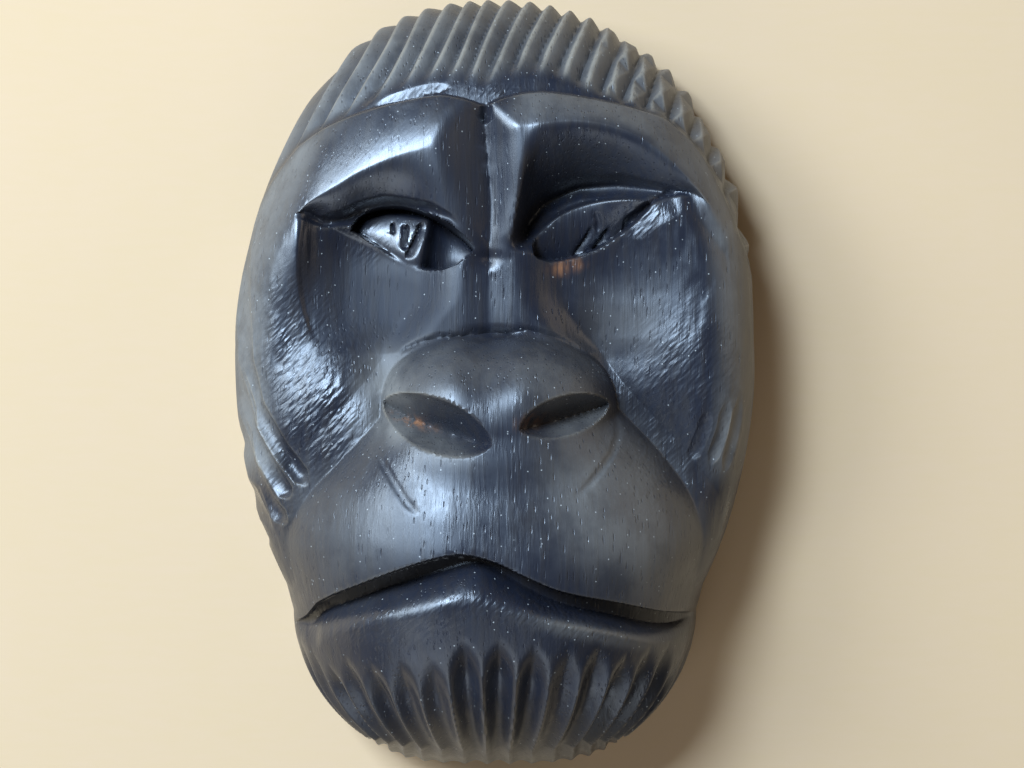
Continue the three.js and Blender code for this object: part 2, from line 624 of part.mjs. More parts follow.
// A quadric: the sum of squared distances to a set of planes, as ten numbers.
function addPlane(quadrics, vertex, normal, offset, weight) {
  const plane = [normal.x, normal.y, normal.z, offset];
  let k = vertex * 10;
  for (let i = 0; i < 4; i += 1) {
    for (let j = i; j < 4; j += 1) {
      quadrics[k] += weight * plane[i] * plane[j];
      k += 1;
    }
  }
}

function quadricError(q, x, y, z) {
  return (
    q[0] * x * x + 2 * q[1] * x * y + 2 * q[2] * x * z + 2 * q[3] * x +
    q[4] * y * y + 2 * q[5] * y * z + 2 * q[6] * y +
    q[7] * z * z + 2 * q[8] * z + q[9]
  );
}

// The point with the least error, or null where the planes don't fix one.
function quadricBest(q) {
  const a = q[4] * q[7] - q[5] * q[5];
  const b = q[2] * q[5] - q[1] * q[7];
  const c = q[1] * q[5] - q[2] * q[4];
  const determinant = q[0] * a + q[1] * b + q[2] * c;
  const size = (q[0] + q[4] + q[7]) / 3;
  if (Math.abs(determinant) < MERGING.flatness * size ** 3) return null;
  const d = q[0] * q[7] - q[2] * q[2];
  const e = q[1] * q[2] - q[0] * q[5];
  const f = q[0] * q[4] - q[1] * q[1];
  return [
    -(a * q[3] + b * q[6] + c * q[8]) / determinant,
    -(b * q[3] + d * q[6] + e * q[8]) / determinant,
    -(c * q[3] + e * q[6] + f * q[8]) / determinant,
  ];
}

// A binary heap of [cost, ...] entries, cheapest first.
class CheapestFirst {
  entries = [];

  push(entry) {
    const list = this.entries;
    let i = list.length;
    list.push(entry);
    while (i > 0) {
      const parent = (i - 1) >> 1;
      if (list[parent][0] <= entry[0]) break;
      list[i] = list[parent];
      i = parent;
    }
    list[i] = entry;
  }

  pop() {
    const list = this.entries;
    const top = list[0];
    const entry = list.pop();
    if (list.length === 0) return top;
    let i = 0;
    for (;;) {
      let child = 2 * i + 1;
      if (child >= list.length) break;
      if (child + 1 < list.length && list[child + 1][0] < list[child][0]) child += 1;
      if (list[child][0] >= entry[0]) break;
      list[i] = list[child];
      i = child;
    }
    list[i] = entry;
    return top;
  }
}

// Merges the ends of the edges that matter least until the wanted number of facets is left.
class Faceting {
  constructor({ points, index }) {
    this.points = points;
    this.faces = [];
    this.facesOf = points.map(() => new Set());
    for (let i = 0; i < index.length; i += 3) {
      const face = [index[i], index[i + 1], index[i + 2]];
      for (const vertex of face) this.facesOf[vertex].add(this.faces.length);
      this.faces.push(face);
    }
    this.faceCount = this.faces.length;
    this.version = new Uint32Array(points.length);
    this.quadrics = new Float64Array(points.length * 10);
    for (const face of this.faces) {
      const normal = this.normalOf(face);
      const area = normal.length();
      if (area === 0) continue;
      normal.divideScalar(area);
      const offset = -normal.dot(new THREE.Vector3(...points[face[0]]));
      for (const vertex of face) addPlane(this.quadrics, vertex, normal, offset, area);
    }
    this.queue = new CheapestFirst();
    this.faces.forEach(([a, b, c]) => {
      for (const [from, to] of [[a, b], [b, c], [c, a]]) {
        if (from < to) this.offer(from, to);
      }
    });
  }

  normalOf(face, moved = -1, place = null) {
    const [a, b, c] = face.map((v) => new THREE.Vector3(...(v === moved ? place : this.points[v])));
    return b.sub(a).cross(c.sub(a));
  }

  isBack(vertex) {
    return this.points[vertex][2] <= 0;
  }

  // The middle of the back stays, and what is on the back stays on it.
  offer(a, b) {
    const middle = this.points.length - 1;
    if (a === middle || b === middle) return;
    const q = new Float64Array(10);
    for (let k = 0; k < 10; k += 1) q[k] = this.quadrics[a * 10 + k] + this.quadrics[b * 10 + k];
    const [pa, pb] = [this.points[a], this.points[b]];
    const halfway = pa.map((value, k) => (value + pb[k]) / 2);
    let places = [pa, pb, halfway];
    const best = quadricBest(q);
    const length = Math.hypot(pa[0] - pb[0], pa[1] - pb[1], pa[2] - pb[2]);
    const reach = best ? Math.hypot(...best.map((value, k) => value - halfway[k])) : Infinity;
    if (reach < MERGING.reach * length) places.push(best);
    if (this.isBack(a) || this.isBack(b)) places = places.filter((place) => place[2] <= 0);
    if (this.isBack(a) !== this.isBack(b)) places = [this.isBack(a) ? pa : pb];
    let cheapest = null;
    for (const place of places) {
      const cost = quadricError(q, ...place) + MERGING.lengthCost * length;
      if (!cheapest || cost < cheapest[0]) cheapest = [cost, place];
    }
    if (cheapest) {
      this.queue.push([...cheapest, a, b, this.version[a], this.version[b]]);
    }
  }

  neighboursOf(vertex) {
    const near = new Set();
    for (const f of this.facesOf[vertex]) for (const v of this.faces[f]) near.add(v);
    near.delete(vertex);
    return near;
  }

  // A merge is allowed where the skin stays closed and no facet turns over or becomes a sliver.
  isAllowed(a, b, place) {
    const nearA = this.neighboursOf(a);
    let shared = 0;
    for (const vertex of this.neighboursOf(b)) if (nearA.has(vertex)) shared += 1;
    if (shared !== 2) return false;
    for (const [vertex, other] of [[a, b], [b, a]]) {
      for (const f of this.facesOf[vertex]) {
        const face = this.faces[f];
        if (face.includes(other)) continue;
        const before = this.normalOf(face);
        const after = this.normalOf(face, vertex, place);
        if (after.length() < MERGING.leastArea) return false;
        const cosine = before.dot(after) / (before.length() * after.length());
        if (cosine < MERGING.leastTurnCosine) return false;
      }
    }
    return true;
  }

  merge(a, b, place) {
    this.points[a] = place;
    for (let k = 0; k < 10; k += 1) this.quadrics[a * 10 + k] += this.quadrics[b * 10 + k];
    for (const f of [...this.facesOf[b]]) {
      const face = this.faces[f];
      if (face.includes(a)) {
        for (const vertex of face) this.facesOf[vertex].delete(f);
        this.faces[f] = null;
        this.faceCount -= 1;
      } else {
        face[face.indexOf(b)] = a;
        this.facesOf[a].add(f);
      }
    }
    this.facesOf[b].clear();
    this.version[a] += 1;
    this.version[b] += 1;
    for (const vertex of this.neighboursOf(a)) this.offer(a, vertex);
  }

  reduceTo(count) {
    while (this.faceCount > count && this.queue.entries.length > 0) {
      const [, place, a, b, versionA, versionB] = this.queue.pop();
      const isCurrent = this.version[a] === versionA && this.version[b] === versionB;
      if (isCurrent && this.isAllowed(a, b, place)) this.merge(a, b, place);
    }
  }

  geometry() {
    const index = this.faces.filter(Boolean).flat();
    const used = [...new Set(index)];
    const renumbered = new Map(used.map((vertex, i) => [vertex, i]));
    const positions = used.flatMap((vertex) => this.points[vertex]);
    const geometry = new THREE.BufferGeometry();
    geometry.setAttribute("position", new THREE.Float32BufferAttribute(positions, 3));
    geometry.setIndex(index.map((vertex) => renumbered.get(vertex)));
    return geometry;
  }
}

// Puts the middle of the outline on the Z axis.
function centred(geometry) {
  geometry.computeBoundingBox();
  const middle = geometry.boundingBox.getCenter(new THREE.Vector3());
  geometry.translate(-middle.x, -middle.y, 0);
  geometry.computeVertexNormals();
  return geometry;
}

function gorillaMask() {
  const skin = fineSkin();
  cutGrooves(skin);
  const faceting = new Faceting(skin);
  faceting.reduceTo(FACETS);
  const stainedWood = new THREE.MeshStandardMaterial({
    color: 0x1b1b1e,
    roughness: 0.4,
    metalness: 0,
    flatShading: true,
  });
  const mesh = new THREE.Mesh(centred(faceting.geometry()), stainedWood);
  mesh.name = "gorilla_mask";
  return mesh;
}

const part = new THREE.Group();
part.add(gorillaMask());

export default part;
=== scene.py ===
"""A miniature gorilla mask: one block of hardwood, carved, stained black and waxed.

The mask lies on its flat back at z = 0, with its face up (+Z) and the top of its head
towards +Y. The carving is worked out in millimetres and set in metres.
"""

from __future__ import annotations

import logging
import math
from dataclasses import dataclass, field
from enum import Enum
from typing import Any

import bpy
import numpy as np
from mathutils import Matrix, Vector

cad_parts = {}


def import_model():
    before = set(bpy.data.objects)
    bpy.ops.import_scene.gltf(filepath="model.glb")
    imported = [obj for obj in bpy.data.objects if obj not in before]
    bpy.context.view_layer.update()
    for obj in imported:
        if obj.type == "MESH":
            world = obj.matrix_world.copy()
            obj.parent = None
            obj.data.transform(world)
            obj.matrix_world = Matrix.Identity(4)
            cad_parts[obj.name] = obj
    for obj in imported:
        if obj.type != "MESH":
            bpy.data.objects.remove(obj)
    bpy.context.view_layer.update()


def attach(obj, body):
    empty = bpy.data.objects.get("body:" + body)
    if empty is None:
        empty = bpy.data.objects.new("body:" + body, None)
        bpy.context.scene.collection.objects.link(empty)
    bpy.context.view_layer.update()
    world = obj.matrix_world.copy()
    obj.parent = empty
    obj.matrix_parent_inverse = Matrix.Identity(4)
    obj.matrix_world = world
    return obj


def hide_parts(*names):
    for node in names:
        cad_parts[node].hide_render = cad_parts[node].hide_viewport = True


log = logging.getLogger("gorilla_mask")

Array = np.ndarray
Point = tuple[float, float]
Colour = tuple[float, float, float, float]
Size = tuple[float, float, float]

MM = 0.001
TINY = 1e-6
ARCH_POWER = 0.8
STEEP_SHARE = 0.25
RUN_OUT_WIDTH = 0.35
SPOT_POWER = 1.5
BEND_ROUNDS = 2
BEND_SHARE = 0.6
FLECK_CORE = 0.4
STREAK_NOISE = {"Detail": 4.0, "Roughness": 0.6}
WRINKLE_BENDS = {"Scale": 0.8, "Detail": 2.0}
WRINKLE_BEND = (0.9, 0.9, 0.9)
PEBBLE_SMOOTHNESS = 0.6


# Shaping functions


def smoothstep(low: float | Array, high: float | Array, value: float | Array) -> Array:
    """Ease from 0 at low to 1 at high.

    Args:
        low: the value where the result is 0.
        high: the value where the result is 1, above or below low.
        value: what is eased.

    Returns:
        Values from 0 to 1.
    """
    t = np.clip((value - low) / (high - low), 0.0, 1.0)
    return t * t * (3.0 - 2.0 * t)


def mix(a: float | Array, b: float | Array, share: float | Array) -> Array:
    """Return a where share is 0, b where it is 1, and a straight mix between."""
    return a + (b - a) * share


def smooth_max(a: Array, b: Array, band: float | Array) -> Array:
    """Take the higher of two surfaces, blended where they nearly meet.

    Args:
        a: heights of the first surface.
        b: heights of the second surface.
        band: the difference in height over which they blend.

    Returns:
        Heights of the joined surface.
    """
    share = np.clip(0.5 + 0.5 * (a - b) / band, 0.0, 1.0)
    return mix(b, a, share) + band * share * (1.0 - share)


def smooth_min(a: Array, b: Array, band: float | Array) -> Array:
    """Return the lower of two surfaces, blended as smooth_max does."""
    return -smooth_max(-a, -b, band)


@dataclass(frozen=True)
class Curve:
    """A smooth line through (place, value) points, level past its ends."""

    points: tuple[Point, ...]

    def __call__(self, place: float | Array) -> Array:
        """Read the curve.

        Args:
            place: where along the axis the curve is read.

        Returns:
            The curve's values there.
        """
        places, values = np.array(self.points, dtype=float).T
        ahead = np.append(np.arange(1, len(places)), len(places) - 1)
        behind = np.maximum(np.arange(len(places)) - 1, 0)
        slopes = (values[ahead] - values[behind]) / (places[ahead] - places[behind])
        at = np.clip(place, places[0], places[-1])
        i = np.clip(np.searchsorted(places, at) - 1, 0, len(places) - 2)
        span = places[i + 1] - places[i]
        t = (at - places[i]) / span
        return (
            (1.0 + 2.0 * t) * (1.0 - t) ** 2 * values[i]
            + t * (1.0 - t) ** 2 * span * slopes[i]
            + t * t * (3.0 - 2.0 * t) * values[i + 1]
            + t * t * (t - 1.0) * span * slopes[i + 1]
        )

    def stretch(self, place: Array) -> Array:
        """Return how much longer the curve is than its shadow on the axis."""
        step = 0.05
        return np.hypot(1.0, (self(place + step) - self(place - step)) / (2.0 * step))


def arch(share: Array, peak: float) -> Array:
    """Return an arch over 0 to 1 that is 1 at its peak."""
    warped = np.clip(share, 0.0, 1.0) ** (math.log(0.5) / math.log(peak))
    return np.clip(4.0 * warped * (1.0 - warped), 0.0, 1.0) ** ARCH_POWER


def along_chord(x: Array, y: Array, start: Point, end: Point) -> tuple[Array, Array]:
    """Measure points against a chord.

    Args:
        x: places across the mask.
        y: places up the mask.
        start: first end of the chord.
        end: last end of the chord.

    Returns:
        The share along the chord, and the distance to its left side.
    """
    dx, dy = end[0] - start[0], end[1] - start[1]
    length = math.hypot(dx, dy)
    share = ((x - start[0]) * dx + (y - start[1]) * dy) / length**2
    side = ((y - start[1]) * dx - (x - start[0]) * dy) / length
    return share, side


# The block and its masses


@dataclass(frozen=True)
class Muzzle:
    """The muzzle and chin, lofted from a half width and a height at each y."""

    start_y: float = -31.0
    chin_half_width: float = 28.0
    chin_down: float = 23.5
    section_power: float = 2.5
    section_root: float = 0.5
    top_y: float = 11.0
    wall: float = 5.0
    buried: float = 2.0
    width: Curve = Curve(
        ((-31, 28), (-26, 29.4), (-20, 31.2), (-15, 30), (-10, 26.4), (-5, 21.8), (0, 17.2), (6, 13))
    )
    rise: Curve = Curve(
        (
            (-52.3, 10), (-51, 18), (-48, 25), (-43, 31), (-35, 35.7), (-25, 38),
            (-18, 37.4), (-11.5, 35.9), (-6, 34), (0, 29.2), (6, 20), (11, 2),
        )
    )

    def half_width(self, y: Array) -> Array:
        """Return half the width of the muzzle, or of the rounded chin under it.

        Args:
            y: places up the mask.

        Returns:
            Half widths in millimetres.
        """
        t = np.clip((self.start_y - y) / self.chin_down, 0.0, 1.0)
        chin = self.chin_half_width * np.sqrt(1.0 - t**2)
        return np.where(y >= self.start_y, self.width(y), chin)

    def height(self, x: Array, y: Array) -> Array:
        """Return the height of the muzzle and chin, buried where they aren't.

        Args:
            x: places across the mask.
            y: places up the mask.

        Returns:
            Heights over the back.
        """
        half = np.maximum(self.half_width(y), TINY)
        across = np.clip(np.abs(x) / half, 0.0, 1.0)
        section = (1.0 - across**self.section_power) ** self.section_root
        there = (np.abs(x) < half) & (y <= self.top_y)
        return np.where(there, self.wall + (self.rise(y) - self.wall) * section, self.buried)


@dataclass(frozen=True)
class Blank:
    """The roughed-out block: an oval head that rounds over to an upright wall."""

    centre_y: float = 3.0
    half_width: float = 35.8
    up: float = 50.5
    down: float = 51.0
    upper_power: float = 2.25
    crown_height: float = 25.0
    fall: float = 1.2
    wall: float = 5.0
    side_start: float = 0.75
    top_start: float = 0.54
    side_power: float = 2.7
    top_power: float = 2.2
    top_from: float = 0.25
    lean: float = 1.0
    lean_rise: Point = (6.0, 30.0)
    lean_fade: Point = (54.0, 40.0)
    chin_top_y: float = -24.0
    chin_cut_y: float = -52.3
    searched: Point = (20.0, 60.0)
    halvings: int = 30
    muzzle: Muzzle = Muzzle()

    def radius(self, x: Array, y: Array) -> Array:
        """Return 0 at the middle of the head and 1 at its outline.

        Args:
            x: places across the mask.
            y: places up the mask.

        Returns:
            Shares of the way to the outline.
        """
        upper = y > self.centre_y
        power = np.where(upper, self.upper_power, 2.0)
        reach = np.where(upper, self.up, self.down)
        lean = self.lean * smoothstep(*self.lean_rise, y) * smoothstep(*self.lean_fade, y)
        across = np.abs((x - lean) / self.half_width) ** power
        along = np.abs((y - self.centre_y) / reach) ** power
        return (across + along) ** (1.0 / power)

    def outline(self, angle: Array) -> Array:
        """Find the outline by halving.

        Args:
            angle: directions in the plan of the mask, in radians.

        Returns:
            The distance from the middle to the outline in each direction.
        """
        low, high = (np.full_like(angle, end) for end in self.searched)
        for _ in range(self.halvings):
            middle = (low + high) / 2.0
            x, y = middle * np.cos(angle), middle * np.sin(angle)
            in_chin = (y < self.chin_top_y) & (np.abs(x) < self.muzzle.half_width(y))
            inside = (in_chin | (self.radius(x, y) < 1.0)) & (y >= self.chin_cut_y)
            low = np.where(inside, middle, low)
            high = np.where(inside, high, middle)
        return low

    def height(self, x: Array, y: Array) -> Array:
        """Return the height of the plain head.

        Args:
            x: places across the mask.
            y: places up the mask.

        Returns:
            Heights over the back.
        """
        radius = self.radius(x, y)
        towards_top = (y - self.centre_y) / np.maximum(np.hypot(x, y - self.centre_y), TINY)
        top = smoothstep(self.top_from, 1.0, towards_top)
        start = mix(self.side_start, self.top_start, top)
        power = mix(self.side_power, self.top_power, top)
        fall_off = np.clip((radius - start) / (1.0 - start), 0.0, 1.0) ** power
        crown = (1.0 - fall_off) ** (1.0 / power)
        return self.wall + (self.crown_height - self.wall - self.fall * radius**2) * crown


# Carved features


@dataclass(frozen=True)
class Hollow:
    """A shallow soft bowl, or a swelling where its depth is negative."""

    centre: Point
    radii: Point
    depth: float
    power: float = 1.7

    def depth_at(self, x: Array, y: Array) -> Array:
        """Return the bowl's depth at each place.

        Args:
            x: places across the mask.
            y: places up the mask.

        Returns:
            Depths, negative on a swelling.
        """
        across = (x - self.centre[0]) / self.radii[0]
        along = (y - self.centre[1]) / self.radii[1]
        return self.depth * np.clip(1.0 - across**2 - along**2, 0.0, 1.0) ** self.power


@dataclass(frozen=True)
class Brow:
    """The brow roll, the eye sockets under it, the cheeks and the cut between the brows."""

    muzzle: Muzzle = Muzzle()
    roll: float = 2.4
    roll_power: float = 1.35
    edges: Point = (1.6, 0.75)
    edges_x: Point = (-5.0, 3.0)
    edge_wall: float = 0.5
    scoop_power: float = 1.5
    least_roll: float = 0.5
    least_lid: float = 0.6
    lid_blend: Point = (0.1, 1.0)
    merges: Point = (14.0, 4.0)
    middle_x: float = -0.8
    right_blend: float = 2.2
    left_blend: float = 7.5
    closed_x: float = 1.2
    closed: Point = (24.4, 27.6)
    hollows: tuple[Hollow, ...] = (
        Hollow(centre=(-13, 12), radii=(14, 15), depth=1.9),
        Hollow(centre=(-17, -8), radii=(15, 17), depth=-3.2),
        Hollow(centre=(14.5, 12.5), radii=(15, 15), depth=2.5),
    )
    rim_x: Curve = Curve(((5, -23.6), (9, -25.2), (13, -25.9), (18, -26), (23, -25)))
    rim_depth: Curve = Curve(((4, 0), (11, 1.6), (17, 2.4), (23, 1.8)))
    rim_wall: float = 0.8
    rim_wall_share: float = 0.25
    rim_slope: float = 7.0
    rim_fade: Point = (23.0, 8.0)
    valley_depths: Point = (0.9, 2.4)
    valley_reaches: Point = (5.0, 11.0)
    valley_slant: float = 0.7
    valley_low: Point = (-24.0, -10.0)
    valley_high: Point = (11.0, 3.0)
    bridge_x: float = -0.7
    bridge_height: float = 0.5
    bridge_side: float = 3.2
    cut_slopes: Point = (0.62, 0.74)
    cut_floor: Curve = Curve(((14, 0), (18, 0.5), (31, 0.6), (35, 0), (38, -0.9)))
    hairline: Curve = Curve(
        (
            (-36, 15), (-32.2, 24), (-28.2, 29.5), (-25.6, 32.1), (-20.3, 34.8), (-12.4, 37),
            (-7.2, 37.8), (-3.9, 37.2), (-1.2, 36.4), (1, 37.3), (4.2, 38.1), (7.6, 38.2),
            (14.5, 37.1), (21.3, 35.6), (23.4, 34.6), (27.2, 31), (30.5, 25), (33, 19), (37, 11),
        )
    )
    crest: Curve = Curve(
        (
            (-29, 20), (-26, 22.4), (-24.3, 23.9), (-20.3, 26.3), (-17.7, 27.8), (-12.4, 29.9),
            (-7.2, 31.2), (-1, 32.6), (4, 33.6), (11, 34.4), (18, 32.9), (23, 29.6), (28, 24.3),
            (31, 20),
        )
    )
    fold: Curve = Curve(
        (
            (-29, 21), (-25.6, 22.6), (-22, 21.8), (-19.7, 22.1), (-17, 23.3), (-14.4, 23.8),
            (-12.4, 23.6), (-8.5, 22.9), (-5.8, 21.9), (-0.7, 20), (3.6, 20.8), (6.4, 24.1),
            (8.7, 25.4), (11.4, 26.4), (16.6, 26.6), (21.8, 25.7), (26.7, 25), (30, 22),
        )
    )
    lid: Curve = Curve(
        (
            (-29, 20.4), (-25.6, 22), (-19.4, 19.4), (-14, 16.4), (-8.6, 14.6), (-2.6, 17.6),
            (4, 17.1), (8.7, 16), (13.5, 17.8), (20.6, 23.3), (26.5, 24.6), (30, 21),
        )
    )
    fold_depth: Curve = Curve(
        (
            (-27, 0), (-22, 0.9), (-18, 1.1), (-13, 1.1), (-8, 1.3), (-0.7, 2.2), (3, 5.2), (8, 7),
            (13, 6.8), (17, 5), (21, 2.4), (26, 0),
        )
    )
    fade: Curve = Curve(((-36, 0.15), (-31, 0.35), (-22, 1), (22, 1), (31, 0.35), (36, 0.15)))
    cut_x: Curve = Curve(((16, -0.7), (24, -0.4), (29, -0.8), (37, -1.5)))
    cut_band: float = 0.9
    ridge_right: Curve = Curve(((16, 1.4), (20, 2.2), (26, 3), (34, 4)))
    ridge_left: Curve = Curve(((16, -4.4), (21, -5.8), (27, -6.4), (34, -5.2)))
    ridge_height: Curve = Curve(((14, 0.3), (18, 0.8), (24, 1.7), (34, 2.4)))
    left_lift: Curve = Curve(((18, 0), (24, 0.3), (28, 0.8), (34, 1)))
    bridge_half: Curve = Curve(((4, 12.6), (6.5, 10.4), (8.4, 9), (11, 7), (13.7, 6.4), (20, 5.6)))

    def cheek(self, x: Array, y: Array) -> Array:
        """Return the height of cheeks and bridge over the plain head.

        Args:
            x: places across the mask.
            y: places up the mask.

        Returns:
            Heights over the plain head.
        """
        half = self.bridge_half(y)
        from_bridge = np.abs(x - self.bridge_x)
        bridge = 1.0 - smoothstep(half - self.bridge_side, half + self.bridge_side, from_bridge)
        depth = sum(hollow.depth_at(x, y) for hollow in self.hollows)
        depth = depth + self.valley(x, y) + self.terrace(x, y)
        return self.bridge_height * bridge - depth * (1.0 - bridge)

    def terrace(self, x: Array, y: Array) -> Array:
        """Return how far the left socket drops off inside its crisp rim.

        Args:
            x: places across the mask.
            y: places up the mask.

        Returns:
            Depths below the rim.
        """
        inside = x - self.rim_x(y)
        wall, slope = (smoothstep(0.0, reach, inside) for reach in (self.rim_wall, self.rim_slope))
        drop = mix(slope, wall, self.rim_wall_share) * smoothstep(*self.rim_fade, inside)
        return self.rim_depth(y) * drop

    def valley(self, x: Array, y: Array) -> Array:
        """Return how far the cheek falls away towards the muzzle.

        Args:
            x: places across the mask.
            y: places up the mask.

        Returns:
            Depths, most beside the muzzle.
        """
        away = self.valley_slant * (np.abs(x) - self.muzzle.half_width(y))
        depth, reach = (np.where(x < 0.0, *pair) for pair in (self.valley_depths, self.valley_reaches))
        near = np.clip(1.0 - away / reach, 0.0, 1.0)
        there = smoothstep(*self.valley_low, y) * smoothstep(*self.valley_high, y)
        return depth * near**2 * there

    def offset(self, x: Array, y: Array) -> Array:
        """Work out the brow, sockets and cheeks.

        Args:
            x: places across the mask.
            y: places up the mask.

        Returns:
            Heights over the plain head.
        """
        top, crest, fold, lid = self.hairline(x), self.crest(x), self.fold(x), self.lid(x)
        roll = self.roll * self.fade(x)
        edge = mix(*self.edges, smoothstep(*self.edges_x, x)) * self.fade(x)
        u = np.clip((y - crest) / np.maximum(top - crest, self.least_roll), 0.0, 1.0)
        edge_wall = edge * smoothstep(self.edge_wall, 0.0, (y - top) / self.hairline.stretch(x))
        on_right = x > self.middle_x
        beyond = np.where(on_right, x - self.ridge_right(y), self.ridge_left(y) - x)
        blend = np.where(on_right, self.right_blend, self.left_blend)
        off_ridge = smoothstep(0.0, blend, beyond)
        ridge = self.ridge_height(y) + np.where(on_right, 0.0, self.left_lift(y))
        cheek = self.cheek(x, y)
        on_roll = mix(mix(ridge, roll, off_ridge), edge, u**self.roll_power)
        v = np.clip((crest - y) / np.maximum(crest - fold, self.least_lid), 0.0, 1.0)
        scoop = mix(roll, -self.fold_depth(x), v**self.scoop_power)
        w = np.clip((fold - y) / np.maximum(fold - lid, self.least_lid), 0.0, 1.0)
        floor = mix(ridge, -self.fold_depth(x), off_ridge)
        over_lid = mix(floor, cheek, smoothstep(*self.lid_blend, w))
        under = np.where(y > fold, mix(ridge, scoop, off_ridge), np.where(y > lid, over_lid, cheek))
        closed = smoothstep(*self.closed, np.abs(x - self.closed_x))
        merge = np.where(on_right, self.merges[1], self.merges[0])
        merged = mix(roll, cheek, smoothstep(0.0, merge, crest - y))
        socket = mix(under, merged, closed)
        return np.where(y > top, edge_wall, np.where(y > crest, on_roll, socket))

    def cut_height(self, x: Array, y: Array, head: Array) -> Array:
        """Return the height of the two sloping walls between the brows.

        Args:
            x: places across the mask.
            y: places up the mask.
            head: heights of the plain head.

        Returns:
            Heights of the walls.
        """
        side = x - self.cut_x(y)
        rise = np.where(side > 0.0, self.cut_slopes[1] * side, -self.cut_slopes[0] * side)
        return head - self.cut_floor(y) + rise


@dataclass(frozen=True)
class Eye:
    """An almond eye: a lens sunk below the lids, deeper at one end."""

    start: Point
    end: Point
    sunk: Curve
    upper_bow: float
    upper_peak: float
    lower_bow: float
    lower_peak: float
    lean: float = 1.0
    bulge: float = 1.5
    edge: float = 0.35
    across_power: float = 0.7
    along_power: float = 0.5
    least_gap: float = 1e-3

    def carve(self, x: Array, y: Array, height: Array, head: Array) -> Array:
        """Set the lens into the face.

        Args:
            x: places across the mask.
            y: places up the mask.
            height: heights of the face so far.
            head: heights of the plain head.

        Returns:
            Heights with the eye in them.
        """
        share, side = along_chord(x, y, self.start, self.end)
        upper = self.upper_bow * arch(share, self.upper_peak)
        lower = -self.lower_bow * arch(share, self.lower_peak)
        v = (side - lower) / np.maximum(upper - lower, self.least_gap)
        inset = np.minimum(side - lower, upper - side)
        in_eye = smoothstep(-self.edge / 2.0, self.edge, inset)
        across = np.clip(4.0 * v * (1.0 - v), 0.0, 1.0) ** self.across_power
        along = np.clip(4.0 * share * (1.0 - share), 0.0, 1.0) ** self.along_power
        lens = head - self.sunk(share) + self.lean * v + self.bulge * across * along
        return np.where((share > 0.0) & (share < 1.0), mix(height, lens, in_eye), height)


@dataclass(frozen=True)
class Nostril:
    """A leaf-shaped nostril with a steep upper wall and a long lower one."""

    start: Point
    end: Point
    upper: float
    lower: float
    depth: float
    valley: float = 0.42
    bow_power: float = 0.62
    upper_power: float = 0.8

    def depth_at(self, x: Array, y: Array) -> Array:
        """Return how deep the nostril is at each place.

        Args:
            x: places across the mask.
            y: places up the mask.

        Returns:
            Depths, 0 outside the nostril.
        """
        share, side = along_chord(x, y, self.start, self.end)
        bow = np.clip(4.0 * share * (1.0 - share), 0.0, 1.0) ** self.bow_power
        upper, lower = self.upper * bow, -self.lower * bow
        valley = mix(lower, upper, self.valley)
        from_top = np.clip((upper - side) / np.maximum(upper - valley, TINY), 0.0, 1.0)
        from_bottom = np.clip((side - lower) / np.maximum(valley - lower, TINY), 0.0, 1.0)
        inside = (share > 0.0) & (share < 1.0) & (side < upper) & (side > lower)
        depth = self.depth * bow * np.minimum(from_top**self.upper_power, from_bottom)
        return np.where(inside, depth, 0.0)


@dataclass(frozen=True)
class Nose:
    """The ball of the nose, with the furrow that splits its top."""

    x: float = 0.2
    y: float = -4.0
    half_width: float = 16.4
    up: float = 11.2
    down: float = 17.0
    power: float = 2.3
    base: float = 19.0
    rise: float = 17.0
    ball_power: float = 2.4
    outer_slope: float = 12.0
    join: Point = (0.4, 4.0)
    join_y: Point = (-3.0, -11.0)
    furrow_x: float = -0.7
    furrow_half: float = 5.2
    furrow_depth: float = 1.5
    furrow_deepens: Point = (-7.0, 4.0)
    furrow_fades: Point = (8.0, 5.5)
    crease_half: float = 3.4
    crease_depth: float = 0.6
    crease_y: Point = (5.0, 18.0)
    crease_fade: float = 1.8
    nostrils: tuple[Nostril, ...] = (
        Nostril(start=(-14.4, -2.2), end=(-0.3, -7.7), upper=3.1, lower=3.7, depth=5.6),
        Nostril(start=(3.3, -5.7), end=(15, -2.5), upper=2.6, lower=2.5, depth=5.2),
    )

    def height(self, x: Array, y: Array) -> Array:
        """Return the height of the ball, diving steeply outside it.

        Args:
            x: places across the mask.
            y: places up the mask.

        Returns:
            Heights over the back.
        """
        reach = np.where(y > self.y, self.up, self.down)
        across = np.abs((x - self.x) / self.half_width) ** self.power
        along = np.abs((y - self.y) / reach) ** self.power
        radius = (across + along) ** (1.0 / self.power)
        ball = np.sqrt(np.clip(1.0 - radius**self.ball_power, 0.0, 1.0))
        return self.base + self.rise * ball - self.outer_slope * np.maximum(radius - 1.0, 0.0)

    def join_band(self, y: Array) -> Array:
        """Return how softly the ball runs into the muzzle below it."""
        return mix(*self.join, smoothstep(*self.join_y, y))

    def crease(self, x: Array, y: Array) -> Array:
        """Return the depth of the crease down the middle of the bridge.

        Args:
            x: places across the mask.
            y: places up the mask.

        Returns:
            Depths, 0 beside the crease.
        """
        across = np.clip(1.0 - np.abs(x - self.furrow_x) / self.crease_half, 0.0, 1.0)
        low, high = self.crease_y
        along = smoothstep(low, low + self.crease_fade, y) * smoothstep(high, high - self.crease_fade, y)
        return self.crease_depth * across * along

    def furrow(self, x: Array, y: Array) -> Array:
        """Return the depth of the furrow over the ball.

        Args:
            x: places across the mask.
            y: places up the mask.

        Returns:
            Depths, 0 beside the furrow.
        """
        across = smoothstep(self.furrow_half, 0.0, np.abs(x - self.furrow_x))
        along = smoothstep(*self.furrow_deepens, y) * smoothstep(*self.furrow_fades, y)
        return self.furrow_depth * across * along


